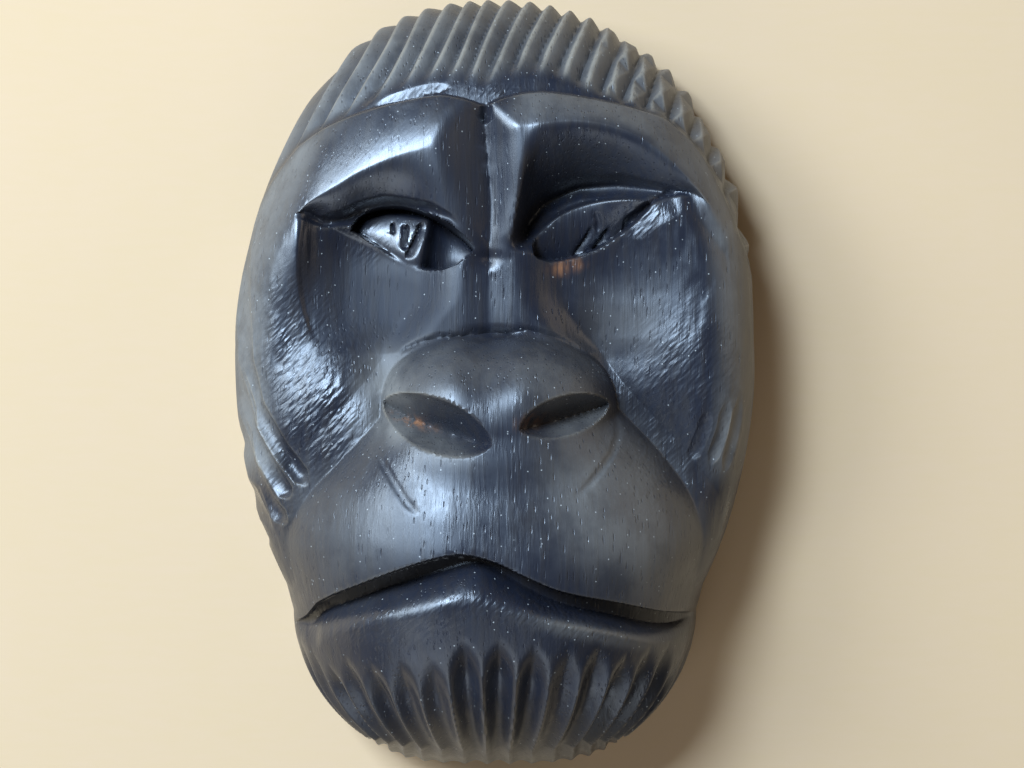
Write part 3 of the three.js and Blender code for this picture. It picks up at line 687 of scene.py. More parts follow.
@dataclass(frozen=True)
class Mouth:
    """The closed mouth: a deep slit, and a lower lip that rises from it."""

    edge: Curve = Curve(
        (
            (-29, -33), (-25.3, -31.1), (-22.7, -28.4), (-17, -25.6), (-11.8, -23.5), (-6.7, -21.9),
            (-3.5, -21.6), (0, -22.5), (3.3, -24), (8.4, -26.2), (16, -28), (21.6, -29.6),
            (26.6, -30.7), (29, -31),
        )
    )
    slit_depth: Curve = Curve(
        (
            (-27.6, 0), (-25, 3), (-20, 4.9), (-12, 5.4), (-3, 4), (3, 4.8), (12, 5.4), (20, 5),
            (24.4, 3.2), (27.2, 0),
        )
    )
    slit_width: Curve = Curve(
        (
            (-27.6, 0.3), (-22, 1.6), (-12, 1.9), (-6, 2), (-3.5, 1.4), (-1.5, 0.8), (1, 1.1),
            (6, 1.6), (14, 2), (22, 1.9), (27.2, 0.5),
        )
    )
    lip_width: Curve = Curve(
        (
            (-27.6, 1.5), (-23, 4.6), (-18, 5.2), (-9.4, 6.4), (-4.9, 6.7), (-0.5, 5.9), (3.4, 4.9),
            (8.5, 4.3), (19, 4.3), (23.3, 4.1), (27.2, 1.6),
        )
    )
    lip_above: float = 0.2
    lip_below: float = 0.3
    lip_power: float = 2.0

    def below(self, x: Array, y: Array) -> Array:
        """Return the distance below the edge of the upper lip."""
        return (self.edge(x) - y) / self.edge.stretch(x)

    def depth_at(self, x: Array, y: Array) -> Array:
        """Return the depth of the slit and of the lip's slope.

        Args:
            x: places across the mask.
            y: places up the mask.

        Returns:
            Depths, 0 above the mouth and below the lip.
        """
        below = self.below(x, y)
        slit, lip = self.slit_width(x), self.lip_width(x)
        ramp = np.clip((lip - below) / (lip - slit), 0.0, 1.0)
        rise = np.where(below < slit, 1.0, ramp**self.lip_power)
        return self.slit_depth(x) * smoothstep(-self.lip_above, self.lip_below, below) * rise


class Gouge(Enum):
    """The section that a tool leaves across its cut."""

    VEE = "vee"
    ROUND = "round"
    WALL_LEFT = "wall on the left"
    WALL_RIGHT = "wall on the right"

    def section(self, across: Array) -> Array:
        """Shape the cut.

        Args:
            across: places over the cut, from -1 on its right edge to 1 on its left.

        Returns:
            Depths from 0 at the edges to 1 at the bottom.
        """
        if self is Gouge.VEE:
            return 1.0 - np.abs(across)
        if self is Gouge.ROUND:
            return 1.0 - across**2
        towards_wall = across if self is Gouge.WALL_LEFT else -across
        slope = (1.0 + towards_wall) / (2.0 - STEEP_SHARE)
        wall = (1.0 - towards_wall) / STEEP_SHARE
        return np.clip(np.minimum(slope, wall), 0.0, 1.0)


@dataclass(frozen=True)
class Stroke:
    """One pull of a tool along a path, with ends that run out."""

    path: tuple[Point, ...]
    half: float
    depth: float
    gouge: Gouge = Gouge.VEE
    run_out: Point = (0.25, 0.25)

    def depth_at(self, x: Array, y: Array) -> Array:
        """Measure the cut.

        Args:
            x: places across the mask.
            y: places up the mask.

        Returns:
            The depth of the cut at each place, 0 away from it.
        """
        knots = np.array(self.path, dtype=float)
        lengths = np.hypot(*np.diff(knots, axis=0).T)
        reached = np.concatenate(([0.0], np.cumsum(lengths)))
        depth = np.zeros_like(x)
        low, high = knots.min(axis=0) - self.half, knots.max(axis=0) + self.half
        near = (x > low[0]) & (x < high[0]) & (y > low[1]) & (y < high[1])
        if not near.any():
            return depth
        px, py = x[near], y[near]
        best = np.full(px.shape, np.inf)
        across, share = np.zeros_like(px), np.zeros_like(px)
        for start, step, length, before in zip(knots, np.diff(knots, axis=0), lengths, reached):
            t = ((px - start[0]) * step[0] + (py - start[1]) * step[1]) / length**2
            t = np.clip(t, 0.0, 1.0)
            dx, dy = px - start[0] - t * step[0], py - start[1] - t * step[1]
            away = np.hypot(dx, dy)
            side = np.where(step[0] * dy - step[1] * dx > 0.0, away, -away)
            nearer = away < best
            best = np.where(nearer, away, best)
            across = np.where(nearer, side, across)
            share = np.where(nearer, (before + t * length) / reached[-1], share)
        first, last = self.run_out
        ends = smoothstep(0.0, first, share) * smoothstep(1.0, 1.0 - last, share)
        half = self.half * mix(RUN_OUT_WIDTH, 1.0, ends)
        inside = best < half
        cut = self.gouge.section(np.clip(across / half, -1.0, 1.0)) * ends * self.depth
        depth[near] = np.where(inside, cut, 0.0)
        return depth


STROKES: tuple[Stroke, ...] = (
    # folds over the lids
    Stroke(
        (
            (-26.6, 22.4), (-22.6, 21.4), (-19.7, 21.9), (-17, 23.1), (-14.4, 23.7), (-12.4, 23.5),
            (-8.5, 22.8), (-5.8, 21.7), (-3.9, 20),
        ),
        1.15, 1.9, Gouge.ROUND, (0.35, 0.3),
    ),
    Stroke(
        (
            (2.9, 17.6), (3.8, 20.9), (6.4, 24.1), (8.7, 25.4), (11.4, 26.4), (16.6, 26.6),
            (21.8, 25.7), (26.5, 25),
        ),
        1.4, 1.1, Gouge.ROUND, (0.35, 0.35),
    ),
    # cuts across the left eye, then across the right one
    Stroke(((-13.6, 21.6), (-13.5, 19.8)), 0.34, 0.8, Gouge.VEE, (0.2, 0.2)),
    Stroke(((-11.9, 21.2), (-12, 17.6)), 0.55, 1.1, Gouge.WALL_LEFT, (0.1, 0.15)),
    Stroke(((-9.2, 21.6), (-10.4, 18.6), (-11.6, 16.4)), 0.8, 1.1, Gouge.WALL_RIGHT, (0.2, 0.2)),
    Stroke(((13.4, 21.4), (12.4, 19.4), (10.4, 16.6)), 0.5, 0.6, Gouge.WALL_RIGHT),
    Stroke(((15.6, 21), (13, 17.3)), 0.5, 0.7, Gouge.WALL_RIGHT),
    Stroke(((13.3, 23.2), (13.9, 21.6), (13.6, 20)), 0.5, 0.3, Gouge.ROUND),
    # line over the nose, and the wings beside it
    Stroke(
        (
            (-13.1, 3.2), (-11.8, 4.5), (-9.8, 5.4), (-7.1, 6.2), (-2.6, 6.1), (-1.5, 5.7),
            (2.1, 6.7), (4.4, 7.1), (6.7, 6.6), (8.7, 5.8), (10.4, 4.9), (12.6, 3.1), (13.8, 0.8),
        ),
        0.5, 0.45, Gouge.VEE, (0.1, 0.1),
    ),
    Stroke(((-15.4, -8.2), (-13.1, -11.9), (-11, -15), (-8.9, -16.9)), 0.7, 0.2, Gouge.ROUND),
    Stroke(
        (
            (14.2, -2.3), (16.1, -5), (16.1, -6.8), (15.2, -9), (13.7, -11), (11.9, -13),
            (9.5, -14.9),
        ),
        0.6, 0.3, Gouge.ROUND,
    ),
    # notch between the brows, and a chipped band on the hairline
    Stroke(((-1.3, 34), (-0.9, 37)), 0.9, 0.9, Gouge.VEE, (0.3, 0.2)),
    Stroke(
        ((-16.4, 36.8), (-13, 37.8), (-9.6, 38.8), (-5.4, 39.4)), 0.8, 0.5, Gouge.WALL_RIGHT, (0.3, 0.2)
    ),
    # bright facet under the outer end of the right eye
    Stroke(((17, 19.6), (20.6, 22.3), (25, 24.8)), 1.9, 0.9, Gouge.WALL_LEFT, (0.2, 0.2)),
)


@dataclass(frozen=True)
class Face:
    """The smooth face: head, brow, eyes, muzzle, nose and mouth in one height."""

    blank: Blank = Blank()
    brow: Brow = Brow()
    nose: Nose = Nose()
    mouth: Mouth = Mouth()
    eyes: tuple[Eye, ...] = (
        Eye(
            start=(-19, 20.4), end=(-2.7, 17.8),
            sunk=Curve(((0.0, 5.2), (0.3, 4.2), (0.58, 3.1), (0.68, 5.2), (0.8, 5.8), (1.0, 4.8))),
            upper_bow=4.1, upper_peak=0.38, lower_bow=3.6, lower_peak=0.64, lean=-1.3, bulge=1.0,
        ),
        Eye(
            start=(5.2, 17.2), end=(20.8, 23.9),
            sunk=Curve(((0.0, 5.0), (0.25, 5.8), (0.6, 5.8), (1.0, 2.8))),
            upper_bow=3.9, upper_peak=0.42, lower_bow=2.7, lower_peak=0.4, lean=1.8, bulge=0.7,
            edge=0.45,
        ),
    )
    strokes: tuple[Stroke, ...] = STROKES
    crease_band: float = 0.4
    cut_bottom: Point = (14.5, 17.0)
    cut_top: Point = (38.4, 36.8)

    def height(self, x: Array, y: Array) -> Array:
        """Return the height of the smooth face at each place of the plan.

        Args:
            x: places across the mask.
            y: places up the mask.

        Returns:
            Heights over the back.
        """
        head = self.blank.height(x, y)
        brow = head + self.brow.offset(x, y)
        cut_share = smoothstep(*self.cut_bottom, y) * smoothstep(*self.cut_top, y)
        cut = smooth_min(brow, self.brow.cut_height(x, y, head), self.brow.cut_band)
        z = mix(brow, cut, cut_share) - self.nose.crease(x, y)
        for eye in self.eyes:
            z = eye.carve(x, y, z, head)
        z = smooth_max(z, self.blank.muzzle.height(x, y), self.crease_band)
        z = smooth_max(z, self.nose.height(x, y), self.nose.join_band(y))
        z = z - self.nose.furrow(x, y)
        for nostril in self.nose.nostrils:
            z = z - nostril.depth_at(x, y)
        for stroke in self.strokes:
            z = z - stroke.depth_at(x, y)
        return z - self.mouth.depth_at(x, y)


# Gouge work


@dataclass(frozen=True)
class Unevenness:
    """Smooth random waves through the block, from -1 to 1."""

    seed: int
    size: Size
    cells: int = 48

    def at(self, x: Array, y: Array, z: Array) -> Array:
        """Read the waves.

        Args:
            x: places across the mask.
            y: places up the mask.
            z: heights.

        Returns:
            The waves' values there.
        """
        lattice = np.random.default_rng(self.seed).uniform(-1.0, 1.0, (self.cells,) * 3)
        places = [value / size for value, size in zip((x, y, z), self.size)]
        low = [np.floor(place).astype(int) for place in places]
        ease = [smoothstep(0.0, 1.0, place - base) for place, base in zip(places, low)]
        total = np.zeros_like(x)
        for corner in range(8):
            bits = [(corner >> axis) & 1 for axis in range(3)]
            cell = tuple((base + bit) % self.cells for base, bit in zip(low, bits))
            weight = np.ones_like(x)
            for share, bit in zip(ease, bits):
                weight = weight * (share if bit else 1.0 - share)
            total += weight * lattice[cell]
        return total


@dataclass(frozen=True)
class Hair:
    """Ridged hair above the brow: leaning grooves with one narrow lit side."""

    lean: float = 22.0
    left_lean: float = 3.0
    left_x: Point = (-4.0, -26.0)
    cross_lean: float = -42.0
    cross_x: Point = (12.0, 19.0)
    cross_share: float = 0.6
    cross_pitch: float = 3.5
    pitch: float = 2.8
    spread: float = 0.0046
    sway: float = 0.16
    offset: float = 0.69
    about_y: float = 38.0
    lit_side: float = 0.3
    round_top: float = 0.16
    starts: Curve = Curve(((-30, 0), (-20, 0.2), (-11, 1.8), (6, 2), (13, 0.6), (20, 0)))
    fulls: Curve = Curve(((-30, 1.6), (-20, 2.4), (-11, 5.4), (6, 6), (13, 3.4), (20, 1.8)))
    depths: Point = (0.85, 1.2)
    depth_x: Point = (-10.0, 14.0)
    waves: Unevenness = Unevenness(seed=21, size=(6.0, 9.0, 9.0))

    def share(self, face: Face, x: Array, y: Array) -> Array:
        """Return 0 at the hairline and 1 where the grooves are full.

        Args:
            face: the smooth face.
            x: places across the mask.
            y: places up the mask.

        Returns:
            Shares of the full depth of the grooves.
        """
        hairline = face.brow.hairline
        above = (y - hairline(x)) / hairline.stretch(x)
        return smoothstep(self.starts(x), self.fulls(x), above)

    def ridge(self, x: Array, y: Array, lean: float | Array, pitch: float) -> Array:
        """Read one family of grooves.

        Args:
            x: places across the mask.
            y: places up the mask.
            lean: how far the grooves lean to the right, in degrees.
            pitch: how far apart the grooves are.

        Returns:
            0 at the bottom of a groove and 1 on the ridge beside it.
        """
        turn = np.radians(lean)
        across = x * np.cos(turn) - (y - self.about_y) * np.sin(turn)
        phase = across / pitch * (1.0 - self.spread * across) + self.offset
        phase = phase + self.sway * self.waves.at(x, y, np.zeros_like(x))
        f = np.mod(phase, 1.0)
        rise = np.where(f < self.lit_side, f / self.lit_side, (1.0 - f) / (1.0 - self.lit_side))
        rounded = 1.0 - np.hypot(1.0 - rise, self.round_top)
        return np.clip(rounded / (1.0 - self.round_top), 0.0, 1.0)

    def top_share(self, x: Array, y: Array) -> Array:
        """Return 0 at the bottom of the grooves and 1 on the tops between them.

        Args:
            x: places across the mask.
            y: places up the mask.

        Returns:
            Shares of the way up the ridges.
        """
        lean = self.lean + self.left_lean * smoothstep(*self.left_x, x)
        crossing = self.cross_share * smoothstep(*self.cross_x, x)
        crossed = 1.0 - crossing * (1.0 - self.ridge(x, y, self.cross_lean, self.cross_pitch))
        return np.minimum(self.ridge(x, y, lean, self.pitch), crossed)

    def depth_at(self, face: Face, x: Array, y: Array) -> Array:
        """Return the depth of the hair's grooves."""
        depth = mix(*self.depths, smoothstep(*self.depth_x, x))
        return depth * self.share(face, x, y) * (1.0 - self.top_share(x, y))


@dataclass(frozen=True)
class Whiskers:
    """Long hollow gouge cuts down the sides of the head, deeper on the left."""

    strokes: tuple[Stroke, ...] = (
        Stroke(
            (
                (-32.8, 23.5), (-33.5, 17), (-33.7, 10), (-33.2, 3), (-31.6, -3), (-28, -8.8),
                (-24.4, -13.4),
            ),
            1.3, 0.95, Gouge.ROUND, (0.4, 0.05),
        ),
        Stroke(
            ((-34.9, 4), (-34.1, -1.5), (-32.6, -6.2), (-30.2, -10.3), (-27, -15.2)),
            1.25, 0.95, Gouge.ROUND, (0.3, 0.06),
        ),
        Stroke(
            ((-34.9, -3), (-33.9, -8), (-32.2, -12.2), (-30, -15.9), (-27.4, -18.7)),
            1.2, 0.85, Gouge.ROUND, (0.3, 0.1),
        ),
        Stroke(((-33.8, -12.6), (-31.4, -17.3), (-29.6, -19.6)), 1.0, 0.55, Gouge.ROUND, (0.3, 0.3)),
        Stroke(((-32.9, -18.4), (-30.7, -22)), 0.9, 0.4, Gouge.ROUND),
        Stroke(((28.4, -3), (27.6, -6.2), (26, -10.4)), 1.0, 0.3, Gouge.ROUND, (0.3, 0.2)),
        Stroke(((31, -1.5), (30.2, -6), (28.6, -11)), 0.9, 0.35, Gouge.ROUND, (0.3, 0.2)),
        Stroke(((32.8, -1), (31.9, -6.4), (30.6, -12)), 0.8, 0.35, Gouge.ROUND, (0.3, 0.2)),
        Stroke(((34.4, -1), (33.8, -6.6), (32.4, -12.4)), 0.8, 0.35, Gouge.ROUND, (0.3, 0.2)),
    )
    off_muzzle: float = 0.6

    def depth_at(self, face: Face, x: Array, y: Array) -> Array:
        """Return the depth of the whiskers' gouge cuts.

        Args:
            face: the smooth face.
            x: places across the mask.
            y: places up the mask.

        Returns:
            Depths, 0 between the cuts.
        """
        blank = face.blank
        on_head = smoothstep(0.0, self.off_muzzle, blank.height(x, y) - blank.muzzle.height(x, y))
        return on_head * sum(stroke.depth_at(x, y) for stroke in self.strokes)


@dataclass(frozen=True)
class Beard:
    """Flutes that run down the chin from pointed tops."""

    pitch: float = 9.2
    offset: float = 0.33
    depth: float = 1.4
    ridge_power: float = 1.4
    least_half: float = 19.0
    top_y: float = -32.8
    drop: float = 2.4
    drop_x: float = 26.0
    point: float = 2.0
    fade: float = 6.5
    foot: Point = (-44.0, -52.0)
    foot_share: float = 0.3
    uneven: Point = (0.45, 1.9)
    seed: int = 3
    hands: int = 40

    def depth_at(self, face: Face, x: Array, y: Array) -> Array:
        """Return the depth of the beard's flutes.

        Args:
            face: the smooth face.
            x: places across the mask.
            y: places up the mask.

        Returns:
            Depths, 0 between the flutes.
        """
        half = np.maximum(face.blank.muzzle.half_width(y), self.least_half)
        angle = np.degrees(np.arcsin(np.clip(x / half, -1.0, 1.0)))
        phase = angle / self.pitch + self.offset
        f = np.abs(2.0 * np.mod(phase, 1.0) - 1.0)
        hand = np.random.default_rng(self.seed).uniform(-1.0, 1.0, (2, self.hands))
        shallower, lower = hand[:, np.floor(phase).astype(int) % self.hands]
        depth = self.depth * (1.0 - self.uneven[0] * shallower)
        top = self.top_y + self.uneven[1] * lower - self.point * f
        top = top - self.drop * (x / self.drop_x) ** 2
        depth = depth * smoothstep(top, top - self.fade, y) * (1.0 - f**2) ** self.ridge_power
        return depth * mix(1.0, self.foot_share, smoothstep(*self.foot, y))


@dataclass(frozen=True)
class HandWork:
    """What the knife left: broad waves, and small dents beaten into the cheeks."""

    wave_depth: float = 0.07
    dent_depth: float = 0.11
    dent_from: float = 0.1
    small_share: float = 0.5
    off_muzzle: float = 2.0
    dent_y: Point = (30.0, 18.0)
    dent_x: Point = (14.0, 24.0)
    waves: Unevenness = Unevenness(seed=5, size=(5.0, 8.0, 6.0))
    dents: Unevenness = Unevenness(seed=8, size=(1.5, 3.2, 2.4))
    small_dents: Unevenness = Unevenness(seed=13, size=(0.9, 1.7, 1.4))

    def depth_at(self, face: Face, x: Array, y: Array, z: Array) -> Array:
        """Return how far the surface lies below the smooth face.

        Args:
            face: the smooth face.
            x: places across the mask.
            y: places up the mask.
            z: heights.

        Returns:
            Depths, negative where the surface stands out.
        """
        head, muzzle = face.blank.height(x, y), face.blank.muzzle.height(x, y)
        cheek = smoothstep(0.0, self.off_muzzle, head - muzzle)
        cheek = cheek * smoothstep(*self.dent_y, y) * smoothstep(*self.dent_x, np.abs(x))
        dents = self.dents.at(x, y, z) + self.small_share * self.small_dents.at(x, y, z)
        dents = np.maximum(dents - self.dent_from, 0.0)
        return self.wave_depth * self.waves.at(x, y, z) + self.dent_depth * cheek * dents


@dataclass(frozen=True)
class Spot:
    """A soft oval on the plan of the mask."""

    centre: Point
    radii: Point
    amount: float
    turn: float = 0.0

    def at(self, x: Array, y: Array) -> Array:
        """Return the spot's amount, fading out from its centre.

        Args:
            x: places across the mask.
            y: places up the mask.

        Returns:
            Values from 0 to the spot's amount.
        """
        turn = math.radians(self.turn)
        dx, dy = x - self.centre[0], y - self.centre[1]
        across = (dx * math.cos(turn) + dy * math.sin(turn)) / self.radii[0]
        along = (dy * math.cos(turn) - dx * math.sin(turn)) / self.radii[1]
        return self.amount * np.exp(-((across**2 + along**2) ** SPOT_POWER))


@dataclass(frozen=True)
class Patina:
    """Where the stain is worn, greyed, beaten or left bare, and where grey sheen is painted on."""

    # Grey film on the hair, fuller on the ridge tops: the lighter tops and darker grooves are partly
    # painted light and shade
    hair_film_and_lit_tops: Point = (0.38, 1.0)
    film_on_lit_tops: float = 2.0
    # Grey film on the upper brow roll, fuller to the right, where it also paints the roll's reflected
    # grey-brown sheen
    brow_film_and_sheen: Point = (0.06, 0.5)
    brow_x: Point = (-6.0, 6.0)
    off_cut: Point = (1.5, 5.5)
    # Painted reflection: a brownish-grey band round the steep sides of the head stands in for the
    # floor's sheen reflected there
    painted_side_sheen: float = 1.0
    side_from: Point = (0.78, 0.92)
    side_low: Point = (-15.0, -9.0)
    side_top: Point = (1.0, -1.0)
    roll_low: Point = (-1.0, 1.5)
    roll_top: Point = (0.5, -0.1)
    # Grey film spots; on the muzzle sides and the nose they also paint a soft grey sheen of reflected
    # light
    film_and_sheen: tuple[Spot, ...] = (
        Spot((15, -14), (8.5, 10), 0.7, 20),
        Spot((23, -24), (7, 7), 0.5),
        Spot((-20, -19), (9, 9), 0.3, -30),
        Spot((-7, 1.5), (7, 4.5), 0.35),
        Spot((7, 1), (7, 5), 0.4),
        Spot((-14.5, -2), (4, 6), 0.9),
        Spot((16.5, 8.5), (5.5, 4.5), 0.3),
        Spot((14, -32.2), (12, 1.0), 0.45, -15),
        Spot((-8.5, -7.6), (6, 2), 0.6, -20),
        Spot((11, -4.6), (4, 1.2), 0.4, 20),
    )
    bare: tuple[Spot, ...] = (
        Spot((9.6, 15.5), (2.0, 0.9), 1.0, 15),
        Spot((-10.4, -4.9), (2.8, 0.6), 0.9, -20),
        Spot((4.6, -4.8), (2.2, 1.0), 0.35, 15),
    )
    beaten: tuple[Spot, ...] = (
        Spot((-27, 3), (8, 12), 1.0, 20),
        Spot((-17, 29.5), (12, 3), 0.25, 25),
        Spot((-22, -7), (5, 6), 0.7, 30),
        Spot((25, -3), (8, 13), 0.6, -15),
        Spot((19, 22), (4, 2.5), 0.9, 30),
        Spot((-17, 19), (3, 3), 0.7),
        Spot((-14, -31), (10, 2.2), 1.0, 8),
        Spot((6, -29.5), (12, 2.2), 0.8, -14),
        Spot((-1, 38.9), (4.5, 1.1), 1.0),
        Spot((-10.5, 38.2), (5, 0.9), 0.7, 14),
        Spot((-30, -12), (4, 10), 0.8, 30),
    )
    waxed: tuple[Spot, ...] = (
        Spot((-18, 28), (13, 6), 1.0, 25),
        Spot((2.5, 33), (4, 4), 0.5),
        Spot((-13.5, 19), (5, 3), 1.0),
        Spot((-13, 37.6), (6, 1.2), 0.8, 14),
        Spot((-14, -31), (9, 2.2), 0.6, 8),
        Spot((-10, -43), (13, 8), 0.5),
        Spot((-29, 10), (5, 10), 0.5, 10),
        Spot((-31, -13), (4, 9), 0.5, 30),
    )
    matt: tuple[Spot, ...] = (
        Spot((-18.5, 12), (8, 5.5), 0.9),
        Spot((-10, 9), (7, 6), 0.9),
        Spot((-4, 28), (3.5, 9), 0.7),
        Spot((14, 29), (11, 3), 0.6, -8),
        Spot((0, -31.5), (22, 3), 0.2),
        Spot((0, -49), (22, 6), 0.3),
    )

    def spread(self, spots: tuple[Spot, ...], x: Array, y: Array) -> Array:
        """Return the spots together, from 0 to 1."""
        return np.clip(sum(spot.at(x, y) for spot in spots), 0.0, 1.0)

    def film_and_sheen_at(self, mask: GorillaMask, x: Array, y: Array) -> Array:
        """Return how much grey film and painted grey sheen lies on the mask, from 0 to 1.

        Args:
            mask: the mask with its face and hair.
            x: places across the mask.
            y: places up the mask.

        Returns:
            Values from 0 to 1.
        """
        face = mask.face
        hair = mask.hair.share(face, x, y)
        top, crest = face.brow.hairline(x), face.brow.crest(x)
        roll = smoothstep(*self.roll_low, y - crest) * smoothstep(*self.roll_top, y - top)
        # brow roll film, which on the right also paints the roll's reflected grey-brown sheen
        roll = roll * mix(*self.brow_film_and_sheen, smoothstep(*self.brow_x, x))
        roll = roll * smoothstep(*self.off_cut, np.abs(x - face.brow.cut_x(y)))
        # hair film, fuller on the ridge tops, which paints the ridges as lit and the grooves as shaded
        on_hair = hair * mix(*self.hair_film_and_lit_tops, mask.hair.top_share(x, y) ** self.film_on_lit_tops)
        radius = face.blank.radius(x, y)
        # painted reflection: the brownish sheen of the floor on the steep sides of the head
        side = self.painted_side_sheen * smoothstep(*self.side_from, radius) * smoothstep(*self.side_low, y)
        below_top = smoothstep(*self.side_top, y - top)
        spots = self.spread(self.film_and_sheen, x, y)
        return np.clip(np.maximum.reduce([on_hair, roll, side * below_top, spots]), 0.0, 1.0)

    def paint(
        self, mask: GorillaMask, mesh: bpy.types.Mesh, net: Net, before: Array, places: Array
    ) -> None:
        """Write the patina to the mesh as one value of each kind for each vertex.

        Args:
            mask: the mask with its face and hair.
            mesh: the mesh that is painted.
            net: the edges between its vertices.
            before: the vertices' places before the gouge work, in millimetres.
            places: the vertices' places after it.
        """
        x, y, _ = before.T
        values = {
            # grey film, partly painted sheen and painted lit hair ridges
            "film_and_sheen": self.film_and_sheen_at(mask, x, y),
            "bare": self.spread(self.bare, x, y),
            "beaten": self.spread(self.beaten, x, y),
            "waxed": self.spread(self.waxed, x, y),
            "matt": self.spread(self.matt, x, y),
            "ridge": net.bend(places, read_vertices(mesh, "normal")),
        }
        for name, value in values.items():
            attribute = mesh.attributes.new(name=name, type="FLOAT", domain="POINT")
            attribute.data.foreach_set("value", value.astype(np.float32))


# Mesh


def deselect_all() -> None:
    """Leave nothing selected, in object mode."""
    if bpy.context.object and bpy.context.object.mode != "OBJECT":
        bpy.ops.object.mode_set(mode="OBJECT")
    bpy.ops.object.select_all(action="DESELECT")


def read_vertices(mesh: bpy.types.Mesh, what: str) -> Array:
    """Read a vector of every vertex.

    Args:
        mesh: the mesh that is read.
        what: "co" for places or "normal" for directions.

    Returns:
        An array of one row of three for each vertex.
    """
    values = np.empty(len(mesh.vertices) * 3, np.float32)
    mesh.vertices.foreach_get(what, values)
    return values.reshape(-1, 3).astype(float)


class Net:
    """The edges of a mesh, for taking means over neighbouring vertices."""

    def __init__(self, mesh: bpy.types.Mesh) -> None:
        """Read the edges of the mesh.

        Args:
            mesh: the mesh whose edges are read.
        """
        ends = np.empty(len(mesh.edges) * 2, np.int32)
        mesh.edges.foreach_get("vertices", ends)
        self.a, self.b = ends.reshape(-1, 2).T
        self.count = len(mesh.vertices)
        self.touching = np.bincount(self.a, minlength=self.count)
        self.touching = self.touching + np.bincount(self.b, minlength=self.count)

    def mean_of_edges(self, values: Array) -> Array:
        """Return, for each vertex, the mean of the values of its edges."""
        total = np.bincount(self.a, values, self.count) + np.bincount(self.b, values, self.count)
        return total / self.touching

    def mean_of_neighbours(self, values: Array, weights: Array | None = None) -> Array:
        """Take means over neighbours.

        Args:
            values: a value or a row of values for each vertex.
            weights: how much each vertex pulls on the edges that it ends, or None.

        Returns:
            The mean of the neighbours' values, for each vertex.
        """
        if values.ndim > 1:
            return np.stack([self.mean_of_neighbours(column, weights) for column in values.T], axis=1)
        pull = np.ones(len(self.a)) if weights is None else weights[self.a] + weights[self.b]
        total = np.bincount(self.a, pull * values[self.b], self.count)
        total = total + np.bincount(self.b, pull * values[self.a], self.count)
        weight = np.bincount(self.a, pull, self.count) + np.bincount(self.b, pull, self.count)
        return total / weight

    def bend(self, places: Array, normals: Array) -> Array:
        """Measure how sharply the surface turns.

        Args:
            places: the vertices' places.
            normals: the vertices' normals.

        Returns:
            Values from -1 in sharp hollows over 0 where it is flat to 1 on sharp ridges.
        """
        reach = self.mean_of_edges(((places[self.a] - places[self.b]) ** 2).sum(axis=1))
        lift = ((places - self.mean_of_neighbours(places)) * normals).sum(axis=1)
        curve = 2.0 * lift / np.maximum(reach, TINY)
        for _ in range(BEND_ROUNDS):
            curve = mix(curve, self.mean_of_neighbours(curve), BEND_SHARE)
        return np.clip(curve, -1.0, 1.0)


def count_triangles(mesh: bpy.types.Mesh) -> int:
    """Return how many triangles the faces of the mesh hold."""
    return sum(len(face.vertices) - 2 for face in mesh.polygons)


def write_places(mesh: bpy.types.Mesh, places: Array) -> None:
    """Set every vertex of the mesh to its place, given in millimetres."""
    mesh.vertices.foreach_set("co", (places * MM).astype(np.float32).ravel())
    mesh.update()


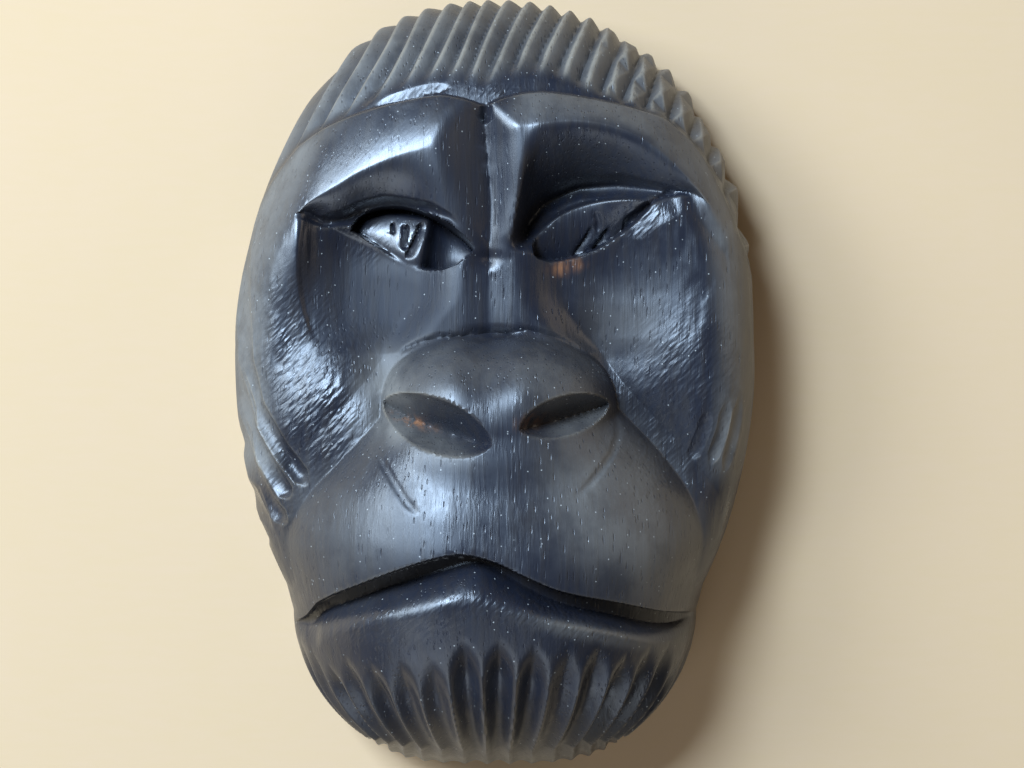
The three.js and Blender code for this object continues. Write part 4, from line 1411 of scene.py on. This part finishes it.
@dataclass
class GorillaMask:
    """The whole mask: one carved piece."""

    face: Face = field(default_factory=Face)
    hair: Hair = field(default_factory=Hair)
    whiskers: Whiskers = field(default_factory=Whiskers)
    beard: Beard = field(default_factory=Beard)
    hand_work: HandWork = field(default_factory=HandWork)
    patina: Patina = field(default_factory=Patina)
    cuts: int = 22
    levels: int = 4
    gather_rounds: int = 5
    gather_steps: int = 8
    gather_share: float = 0.8
    gather_spread: int = 4
    gather_spread_share: float = 0.7
    gather_most: float = 5.0
    least_run: float = 1e-3
    kept_edge: float = 0.01
    calming: int = 8
    calming_share: float = 0.8
    face_share: float = 0.9
    chamfer_share: float = 0.9
    chamfer_width: float = 0.5
    chamfer_height: float = 0.6
    most_triangles: int = 194000
    crisp_angle: float = 48.0

    def block(self) -> bpy.types.Object:
        """Make the evenly divided dome that is carved.

        Returns:
            The block, with its curved side up.
        """
        deselect_all()
        bpy.ops.mesh.primitive_cube_add(size=2.0)
        block = bpy.context.object
        bpy.ops.object.mode_set(mode="EDIT")
        bpy.ops.mesh.select_all(action="SELECT")
        bpy.ops.mesh.subdivide(number_cuts=self.cuts - 1)
        bpy.ops.object.mode_set(mode="OBJECT")
        finer = block.modifiers.new("finer", "SUBSURF")
        finer.subdivision_type = "SIMPLE"
        finer.levels = finer.render_levels = self.levels
        bpy.ops.object.modifier_apply(modifier=finer.name)
        bpy.ops.object.mode_set(mode="EDIT")
        bpy.ops.mesh.select_all(action="SELECT")
        bpy.ops.transform.tosphere(value=1.0)
        bpy.ops.mesh.bisect(plane_co=(0, 0, 0), plane_no=(0, 0, 1), clear_inner=True, use_fill=True)
        bpy.ops.object.mode_set(mode="OBJECT")
        return block

    def smooth_places(self, dome: Array) -> Array:
        """Turn directions on the dome into places on the smooth mask.

        Args:
            dome: unit vectors, one row for each vertex.

        Returns:
            Places in millimetres, one row for each vertex.
        """
        blank = self.face.blank
        around = np.arctan2(dome[:, 1], dome[:, 0])
        down = np.arccos(np.clip(dome[:, 2], -1.0, 1.0)) / (math.pi / 2.0)
        share = np.sin(np.clip(down / self.face_share, 0.0, 1.0) * math.pi / 2.0)
        wall = np.clip((down - self.face_share) / (1.0 - self.face_share), 0.0, 1.0)
        bevel = np.clip((wall - self.chamfer_share) / (1.0 - self.chamfer_share), 0.0, 1.0)
        reach = blank.outline(around) * share - self.chamfer_width * bevel
        x, y = reach * np.cos(around), reach * np.sin(around)
        upright = mix(blank.wall, self.chamfer_height, np.clip(wall / self.chamfer_share, 0.0, 1.0))
        edge = np.where(bevel > 0.0, self.chamfer_height * (1.0 - bevel), upright)
        z = np.where(down <= self.face_share, self.face.height(x, y), edge)
        return np.stack([x, y, z], axis=1)

    def gather(self, net: Net, places: Array, free: Array) -> None:
        """Slide vertices towards steep walls, so that the walls have rows enough.

        Args:
            net: the edges between the vertices.
            places: places on the smooth mask, one row for each vertex.
            free: which vertices may slide over the face.
        """
        for _ in range(self.gather_rounds):
            x, y, z = (places[net.a] - places[net.b]).T
            slope = np.abs(z) / (np.hypot(x, y) + self.least_run)
            steep = net.mean_of_edges(np.minimum(np.hypot(1.0, slope), self.gather_most))
            for _ in range(self.gather_spread):
                steep = mix(steep, net.mean_of_neighbours(steep), self.gather_spread_share)
            for _ in range(self.gather_steps):
                drawn = net.mean_of_neighbours(places[:, :2], steep)
                places[free, :2] = mix(places[free, :2], drawn[free], self.gather_share)
            places[free, 2] = self.face.height(places[free, 0], places[free, 1])

    def cut_depth(self, places: Array) -> Array:
        """Return how deep all the gouge work is at each place.

        Args:
            places: places on the smooth mask, one row for each vertex.

        Returns:
            Depths in millimetres.
        """
        x, y, z = places.T
        depth = self.hair.depth_at(self.face, x, y)
        depth += self.whiskers.depth_at(self.face, x, y)
        depth += self.beard.depth_at(self.face, x, y)
        depth += self.hand_work.depth_at(self.face, x, y, z)
        return depth

    def carve(self, block: bpy.types.Object) -> None:
        """Shape the block into the face, then cut the fine work square to it.

        Args:
            block: the divided dome.
        """
        mesh = block.data
        dome = read_vertices(mesh, "co")
        dome /= np.linalg.norm(dome, axis=1)[:, None]
        places = self.smooth_places(dome)
        down = np.arccos(np.clip(dome[:, 2], -1.0, 1.0)) / (math.pi / 2.0)
        net = Net(mesh)
        self.gather(net, places, down < self.face_share - self.kept_edge)
        write_places(mesh, places)
        normals = read_vertices(mesh, "normal")
        for _ in range(self.calming):
            normals = mix(normals, net.mean_of_neighbours(normals), self.calming_share)
        low = places[:, 2] <= self.chamfer_height + TINY
        normals[low, 2] = 0.0
        normals /= np.maximum(np.linalg.norm(normals, axis=1), TINY)[:, None]
        before = places.copy()
        places -= normals * self.cut_depth(places)[:, None]
        middle = (places.min(axis=0) + places.max(axis=0)) / 2.0
        places[:, :2] -= middle[:2]
        write_places(mesh, places)
        self.patina.paint(self, mesh, net, before, places)

    def thin_out(self, block: bpy.types.Object) -> None:
        """Merge what lies flat, so that the piece keeps to its number of triangles.

        Args:
            block: the carved mask, which is the active object.
        """
        triangles = count_triangles(block.data)
        if triangles <= self.most_triangles:
            return
        thinner = block.modifiers.new("thinner", "DECIMATE")
        thinner.ratio = self.most_triangles / triangles
        thinner.use_collapse_triangulate = True
        bpy.ops.object.modifier_apply(modifier=thinner.name)

    def build(self) -> bpy.types.Object:
        """Make the carved piece.

        Returns:
            The finished mesh object, with its place in its mesh.
        """
        block = self.block()
        self.carve(block)
        self.thin_out(block)
        deselect_all()
        block.select_set(True)
        bpy.context.view_layer.objects.active = block
        bpy.ops.object.shade_smooth_by_angle(angle=math.radians(self.crisp_angle))
        block.name = "carved_mask"
        block.data.name = "carved_mask"
        block.select_set(False)
        return block


# Finishes


@dataclass
class Graph:
    """A shader node tree that is built one node after another."""

    tree: bpy.types.NodeTree

    def feed(self, node: bpy.types.Node, inputs: dict[str | int, Any]) -> None:
        """Set each input of the node to its value, or link it to the socket given.

        Args:
            node: the node that is fed.
            inputs: a value, or the socket that feeds it, for each input.
        """
        for key, value in inputs.items():
            if isinstance(value, bpy.types.NodeSocket):
                self.tree.links.new(value, node.inputs[key])
            else:
                node.inputs[key].default_value = value

    def add(
        self, kind: str, inputs: dict[str | int, Any] | None = None, **settings: Any
    ) -> bpy.types.Node:
        """Add a node.

        Args:
            kind: the node's type name without its "ShaderNode" beginning.
            inputs: a value, or the socket that feeds it, for each input named.
            settings: properties set on the node itself.

        Returns:
            The new node.
        """
        node = self.tree.nodes.new("ShaderNode" + kind)
        for name, value in settings.items():
            setattr(node, name, value)
        self.feed(node, inputs or {})
        return node

    def math(self, operation: str, first: Any, second: Any = 0.0) -> bpy.types.NodeSocket:
        """Return what the operation makes of two values or sockets."""
        return self.add("Math", {0: first, 1: second}, operation=operation).outputs[0]

    def place_in_mm(self) -> bpy.types.NodeSocket:
        """Return the place on the object, in millimetres."""
        place = self.add("TexCoord").outputs["Object"]
        return self.add("VectorMath", {0: place, 3: 1.0 / MM}, operation="SCALE").outputs[0]

    def streaks(
        self, effects: Effects, place: bpy.types.NodeSocket, streaks: Streaks
    ) -> bpy.types.NodeSocket:
        """Place the shared streaks with the given sizes."""
        inputs = {"Vector": place, "Size": streaks.size, "Low": streaks.low, "High": streaks.high}
        return self.group(effects.streaks, inputs)

    def flecks(
        self, effects: Effects, place: bpy.types.NodeSocket, flecks: Flecks
    ) -> bpy.types.NodeSocket:
        """Place the shared flecks with the given sizes."""
        inputs = {"Vector": place, "Size": flecks.size, "Reach": flecks.reach, "Share": flecks.share}
        return self.group(effects.flecks, inputs)

    def times(self, first: Any, *others: Any) -> bpy.types.NodeSocket:
        """Return the product of values or sockets.

        Args:
            first: a value or socket.
            others: the values or sockets that multiply it.

        Returns:
            The product.
        """
        for other in others:
            first = self.math("MULTIPLY", first, other)
        return first

    def plus(self, first: Any, second: Any) -> bpy.types.NodeSocket:
        """Return the sum of two values or sockets."""
        return self.math("ADD", first, second)

    def rest_of(self, share: Any) -> bpy.types.NodeSocket:
        """Return what is left of 1 beside the share."""
        return self.math("SUBTRACT", 1.0, share)

    def ramp(self, value: Any, low: Any, high: Any) -> bpy.types.NodeSocket:
        """Return 0 where value is low, 1 where it is high, and eased values between."""
        inputs = {"Value": value, "From Min": low, "From Max": high}
        return self.add("MapRange", inputs, interpolation_type="SMOOTHSTEP").outputs[0]

    def blend(self, share: Any, first: Any, second: Any) -> bpy.types.NodeSocket:
        """Return a mix of two colours."""
        return self.add("Mix", {0: share, 6: first, 7: second}, data_type="RGBA").outputs[2]

    def group(self, group: bpy.types.NodeTree, inputs: dict[str, Any]) -> bpy.types.NodeSocket:
        """Place a shared effect with its own values, and return its one output.

        Args:
            group: the shared effect.
            inputs: a value, or the socket that feeds it, for each input.

        Returns:
            The effect's output.
        """
        node = self.tree.nodes.new("ShaderNodeGroup")
        node.node_tree = group
        self.feed(node, inputs)
        return node.outputs[0]


def start_group(
    name: str, inputs: dict[str, str], output: str
) -> tuple[Graph, bpy.types.Node, bpy.types.Node]:
    """Start a shared effect.

    Args:
        name: the group's name.
        inputs: the socket type of each input, such as "Float" or "Vector".
        output: the name of its one output.

    Returns:
        The group's graph, its input node and its output node.
    """
    tree = bpy.data.node_groups.new(name, "ShaderNodeTree")
    for label, kind in inputs.items():
        tree.interface.new_socket(label, in_out="INPUT", socket_type="NodeSocket" + kind)
    tree.interface.new_socket(output, in_out="OUTPUT", socket_type="NodeSocketFloat")
    return Graph(tree), tree.nodes.new("NodeGroupInput"), tree.nodes.new("NodeGroupOutput")


def sized(graph: Graph, place: bpy.types.NodeSocket, given: bpy.types.Node) -> bpy.types.NodeSocket:
    """Return the place measured in the group's own Size."""
    inputs = {0: place, 1: given.outputs["Size"]}
    return graph.add("VectorMath", inputs, operation="DIVIDE").outputs[0]


def make_flecks() -> bpy.types.NodeTree:
    """Build the shared effect of scattered marks: pores, dust or scratches.

    Returns:
        The node group.
    """
    inputs = {"Vector": "Vector", "Size": "Vector", "Reach": "Float", "Share": "Float"}
    graph, given, result = start_group("flecks", inputs, "Mask")
    place = sized(graph, given.outputs["Vector"], given)
    cells = graph.add("TexVoronoi", {"Vector": place, "Scale": 1.0})
    reach = given.outputs["Reach"]
    body = graph.ramp(cells.outputs["Distance"], reach, graph.times(reach, FLECK_CORE))
    parts = graph.add("SeparateColor", {0: cells.outputs["Color"]})
    chosen = graph.math("LESS_THAN", parts.outputs[0], given.outputs["Share"])
    graph.tree.links.new(graph.times(body, chosen), result.inputs[0])
    return graph.tree


def make_streaks() -> bpy.types.NodeTree:
    """Build the shared effect of cloudy streaks: grain, patches of film or of wear.

    Returns:
        The node group.
    """
    inputs = {"Vector": "Vector", "Size": "Vector", "Low": "Float", "High": "Float"}
    graph, given, result = start_group("streaks", inputs, "Mask")
    place = sized(graph, given.outputs["Vector"], given)
    cloud = graph.add("TexNoise", {"Vector": place, "Scale": 1.0, **STREAK_NOISE})
    mask = graph.ramp(cloud.outputs[0], given.outputs["Low"], given.outputs["High"])
    graph.tree.links.new(mask, result.inputs[0])
    return graph.tree


def make_wrinkles() -> bpy.types.NodeTree:
    """Build the shared effect of soft pebbles with wrinkles between them.

    Returns:
        The node group.
    """
    inputs = {"Vector": "Vector", "Size": "Vector", "Turn": "Float"}
    graph, given, result = start_group("wrinkles", inputs, "Height")
    turn = {"Vector": given.outputs["Vector"], "Angle": given.outputs["Turn"]}
    turned = graph.add("VectorRotate", turn, rotation_type="Z_AXIS")
    place = sized(graph, turned.outputs[0], given)
    bend = graph.add("TexNoise", {"Vector": place, **WRINKLE_BENDS})
    bent = graph.add("VectorMath", {0: bend.outputs["Color"], 1: WRINKLE_BEND}, operation="MULTIPLY")
    moved = graph.add("VectorMath", {0: place, 1: bent.outputs[0]}, operation="ADD")
    pebbles = {"Vector": moved.outputs[0], "Scale": 1.0, "Smoothness": PEBBLE_SMOOTHNESS}
    cells = graph.add("TexVoronoi", pebbles, feature="SMOOTH_F1")
    graph.tree.links.new(graph.rest_of(cells.outputs["Distance"]), result.inputs[0])
    return graph.tree


@dataclass
class Effects:
    """The node groups that the materials share."""

    flecks: bpy.types.NodeTree = field(default_factory=make_flecks)
    streaks: bpy.types.NodeTree = field(default_factory=make_streaks)
    wrinkles: bpy.types.NodeTree = field(default_factory=make_wrinkles)


@dataclass(frozen=True)
class Streaks:
    """The size of cloudy streaks in millimetres, and the noise levels where they begin and fill."""

    size: Size
    low: float
    high: float


@dataclass(frozen=True)
class Flecks:
    """The spacing of flecks in millimetres, how wide they are in it and how many there are."""

    size: Size
    reach: float
    share: float


@dataclass(frozen=True)
class StainedWood:
    """Black-stained hardwood under rubbed wax, with a grey film where it is handled and a painted grey
    sheen.
    """

    stain: Colour = (0.0095, 0.011, 0.0175, 1.0)
    brown_stain: Colour = (0.020, 0.0165, 0.015, 1.0)
    # Grey film colour: partly dust and handling, partly a painted sheen of reflected light and painted
    # lit hair ridges
    film_and_sheen: Colour = (0.125, 0.115, 0.102, 1.0)
    worn_edge: Colour = (0.20, 0.165, 0.12, 1.0)
    bare_wood: Colour = (0.22, 0.095, 0.042, 1.0)
    dust: Colour = (0.42, 0.42, 0.40, 1.0)
    gloss: Point = (0.25, 0.38)
    shine: float = 0.45
    wax: float = 0.8
    wax_roughness: float = 0.3
    film_and_sheen_roughness: float = 0.6
    matt_roughness: float = 0.7
    grain: Streaks = Streaks(size=(0.9, 14.0, 1.2), low=0.38, high=0.66)
    patches: Streaks = Streaks(size=(4.5, 6.0, 5.0), low=0.3, high=0.62)
    pores: Flecks = Flecks(size=(0.42, 2.6, 0.42), reach=0.34, share=0.42)
    specks: Flecks = Flecks(size=(0.85, 0.85, 0.85), reach=0.15, share=0.22)
    wrinkles: Size = (0.5, 1.6, 0.9)
    wrinkle_turn: float = math.radians(42)
    film_and_sheen_patchy: Point = (0.45, 0.55)
    film_and_sheen_off_pores: float = 0.5
    worn_from: Point = (0.25, 0.9)
    worn_least: float = 0.1
    brown_share: float = 0.4
    worn_share: float = 0.5
    dust_share: float = 0.6
    pore_height: float = -0.05
    grain_height: float = 0.025
    wrinkle_height: float = 0.16
    bump_strength: float = 0.8

    def material(self, effects: Effects) -> bpy.types.Material:
        """Build the material.

        Args:
            effects: the shared node groups.

        Returns:
            The finished material.
        """
        material = bpy.data.materials.new("stained_wood")
        material.use_nodes = True
        graph = Graph(material.node_tree)
        place = graph.place_in_mm()
        read = {
            name: graph.add("Attribute", attribute_name=name).outputs["Fac"]
            for name in ("film_and_sheen", "ridge", "bare", "beaten", "waxed", "matt")
        }
        grain, patch = (graph.streaks(effects, place, streaks) for streaks in (self.grain, self.patches))
        pores, specks = (graph.flecks(effects, place, flecks) for flecks in (self.pores, self.specks))
        turned = {"Vector": place, "Size": self.wrinkles, "Turn": self.wrinkle_turn}
        wrinkles = graph.group(effects.wrinkles, turned)

        # Grey film, patchy and kept out of the pores: partly dust, partly painted sheen of reflected
        # light and painted lit hair ridges
        patchy, evenly = self.film_and_sheen_patchy
        film_and_sheen = graph.times(read["film_and_sheen"], graph.plus(graph.times(patch, patchy), evenly))
        film_and_sheen = graph.times(film_and_sheen, graph.rest_of(graph.times(pores, self.film_and_sheen_off_pores)))
        worn = graph.times(graph.ramp(read["ridge"], *self.worn_from), graph.plus(film_and_sheen, self.worn_least))
        colour = graph.blend(graph.times(grain, self.brown_share), self.stain, self.brown_stain)
        colour = graph.blend(film_and_sheen, colour, self.film_and_sheen)
        colour = graph.blend(graph.times(worn, self.worn_share), colour, self.worn_edge)
        colour = graph.blend(graph.times(read["bare"], grain), colour, self.bare_wood)
        colour = graph.blend(graph.times(specks, self.dust_share), colour, self.dust)

        glossy, dull = self.gloss
        sheen = graph.add("MapRange", {"Value": patch, "To Min": glossy, "To Max": dull}).outputs[0]
        sheen = graph.add("Mix", {0: film_and_sheen, 2: sheen, 3: self.film_and_sheen_roughness}).outputs[0]
        sheen = graph.add("Mix", {0: read["matt"], 2: sheen, 3: self.matt_roughness}).outputs[0]
        wax = graph.times(read["waxed"], graph.rest_of(film_and_sheen), self.wax)

        height = graph.plus(graph.times(pores, self.pore_height), graph.times(grain, self.grain_height))
        height = graph.plus(height, graph.times(wrinkles, read["beaten"], self.wrinkle_height))
        bump = graph.add("Bump", {"Height": height, "Distance": MM, "Strength": self.bump_strength})

        shader = material.node_tree.nodes["Principled BSDF"]
        shader.inputs["Specular IOR Level"].default_value = self.shine
        shader.inputs["Coat Roughness"].default_value = self.wax_roughness
        fed = {"Base Color": colour, "Roughness": sheen, "Coat Weight": wax, "Normal": bump.outputs[0]}
        graph.feed(shader, fed)
        return material


@dataclass(frozen=True)
class PaleCard:
    """The matt card floor under the mask."""

    colour: Colour = (0.50, 0.345, 0.205, 1.0)
    fibre: Colour = (0.49, 0.34, 0.18, 1.0)
    roughness: float = 0.9
    fibres: Streaks = Streaks(size=(5.0, 1.2, 1.0), low=0.3, high=0.7)
    blotches: Streaks = Streaks(size=(30.0, 30.0, 30.0), low=0.3, high=0.7)
    fibre_share: float = 0.25

    def material(self, effects: Effects) -> bpy.types.Material:
        """Build the material.

        Args:
            effects: the shared node groups.

        Returns:
            The finished material.
        """
        material = bpy.data.materials.new("pale_card")
        material.use_nodes = True
        graph = Graph(material.node_tree)
        place = graph.place_in_mm()
        fibres, blotches = (
            graph.streaks(effects, place, streaks) for streaks in (self.fibres, self.blotches)
        )
        share = graph.times(graph.plus(fibres, blotches), self.fibre_share)
        shader = material.node_tree.nodes["Principled BSDF"]
        shader.inputs["Roughness"].default_value = self.roughness
        graph.feed(shader, {"Base Color": graph.blend(share, self.colour, self.fibre)})
        return material


# Setting


@dataclass(frozen=True)
class SoftLight:
    """A rectangular studio light aimed at the mask."""

    name: str
    place: Size
    size: Point
    power: float
    colour: Size

    def build(self, aim: Vector) -> None:
        """Add the light, turned towards aim.

        Args:
            aim: the point that the light faces.
        """
        lamp = bpy.data.lights.new(self.name, "AREA")
        lamp.shape = "RECTANGLE"
        lamp.size, lamp.size_y = self.size
        lamp.energy = self.power
        lamp.color = self.colour
        light = bpy.data.objects.new(self.name, lamp)
        bpy.context.scene.collection.objects.link(light)
        light.location = self.place
        light.rotation_mode = "QUATERNION"
        light.rotation_quaternion = (aim - Vector(self.place)).to_track_quat("-Z", "Y")


@dataclass(frozen=True)
class Setting:
    """The floor, the lights and the camera."""

    camera_place: Size = (0.00233, -0.0006, 0.320)
    sensor: float = 36.0
    focal_pixels: float = 2248.0
    picture_width: float = 1024.0
    clip_start: float = 0.01
    aim: Size = (0.0, 0.0, 0.02)
    floor_size: float = 3.0
    room_colour: Colour = (0.75, 0.72, 0.68, 1.0)
    room_strength: float = 0.14
    lights: tuple[SoftLight, ...] = (
        SoftLight("window", (-0.33, 0.36, 0.75), (0.26, 0.26), 15.0, (0.56, 0.75, 1.0)),
        SoftLight("side", (-0.66, 0.34, 0.54), (0.42, 0.42), 11.0, (0.66, 0.82, 1.0)),
        SoftLight("fill", (0.80, 0.30, 0.26), (0.6, 0.5), 1.3, (1.0, 0.84, 0.66)),
        SoftLight("low", (-0.22, -0.62, 0.45), (0.7, 0.4), 2.3, (0.78, 0.88, 1.0)),
    )

    def build_floor(self, material: bpy.types.Material) -> None:
        """Add the plain pale floor that the mask lies on.

        Args:
            material: the floor's finish.
        """
        deselect_all()
        bpy.ops.mesh.primitive_plane_add(size=self.floor_size)
        floor = bpy.context.object
        floor.name = "floor"
        floor.data.materials.append(material)
        floor.select_set(False)

    def build_camera(self) -> None:
        """Add the camera, which looks straight down on the face."""
        lens = bpy.data.cameras.new("camera")
        lens.sensor_width = self.sensor
        lens.lens = self.sensor * self.focal_pixels / self.picture_width
        lens.clip_start = self.clip_start
        camera = bpy.data.objects.new("camera", lens)
        bpy.context.scene.collection.objects.link(camera)
        camera.location = self.camera_place
        bpy.context.scene.camera = camera

    def build_lights(self) -> None:
        """Add the lights and the room's own glow."""
        world = bpy.data.worlds.new("room")
        world.use_nodes = True
        glow = world.node_tree.nodes["Background"]
        glow.inputs["Color"].default_value = self.room_colour
        glow.inputs["Strength"].default_value = self.room_strength
        bpy.context.scene.world = world
        for light in self.lights:
            light.build(Vector(self.aim))

    def build(self, floor_material: bpy.types.Material) -> None:
        """Build the whole setting on a floor of the given material.

        Args:
            floor_material: the floor's finish.
        """
        self.build_floor(floor_material)
        self.build_camera()
        self.build_lights()
        bpy.context.scene.view_settings.view_transform = "Standard"


def main() -> None:
    """Build the mask and its setting, in order."""
    logging.basicConfig(level=logging.INFO, format="%(name)s: %(message)s")
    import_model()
    effects = Effects()
    mask = GorillaMask()
    piece = mask.build()
    piece.data.materials.append(StainedWood().material(effects))
    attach(piece, "root")
    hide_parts("gorilla_mask")
    log.info("carved mask: %d triangles", count_triangles(piece.data))
    Setting().build(PaleCard().material(effects))
    log.info("setting: floor, camera and lights")


if __name__ == "__main__":
    main()
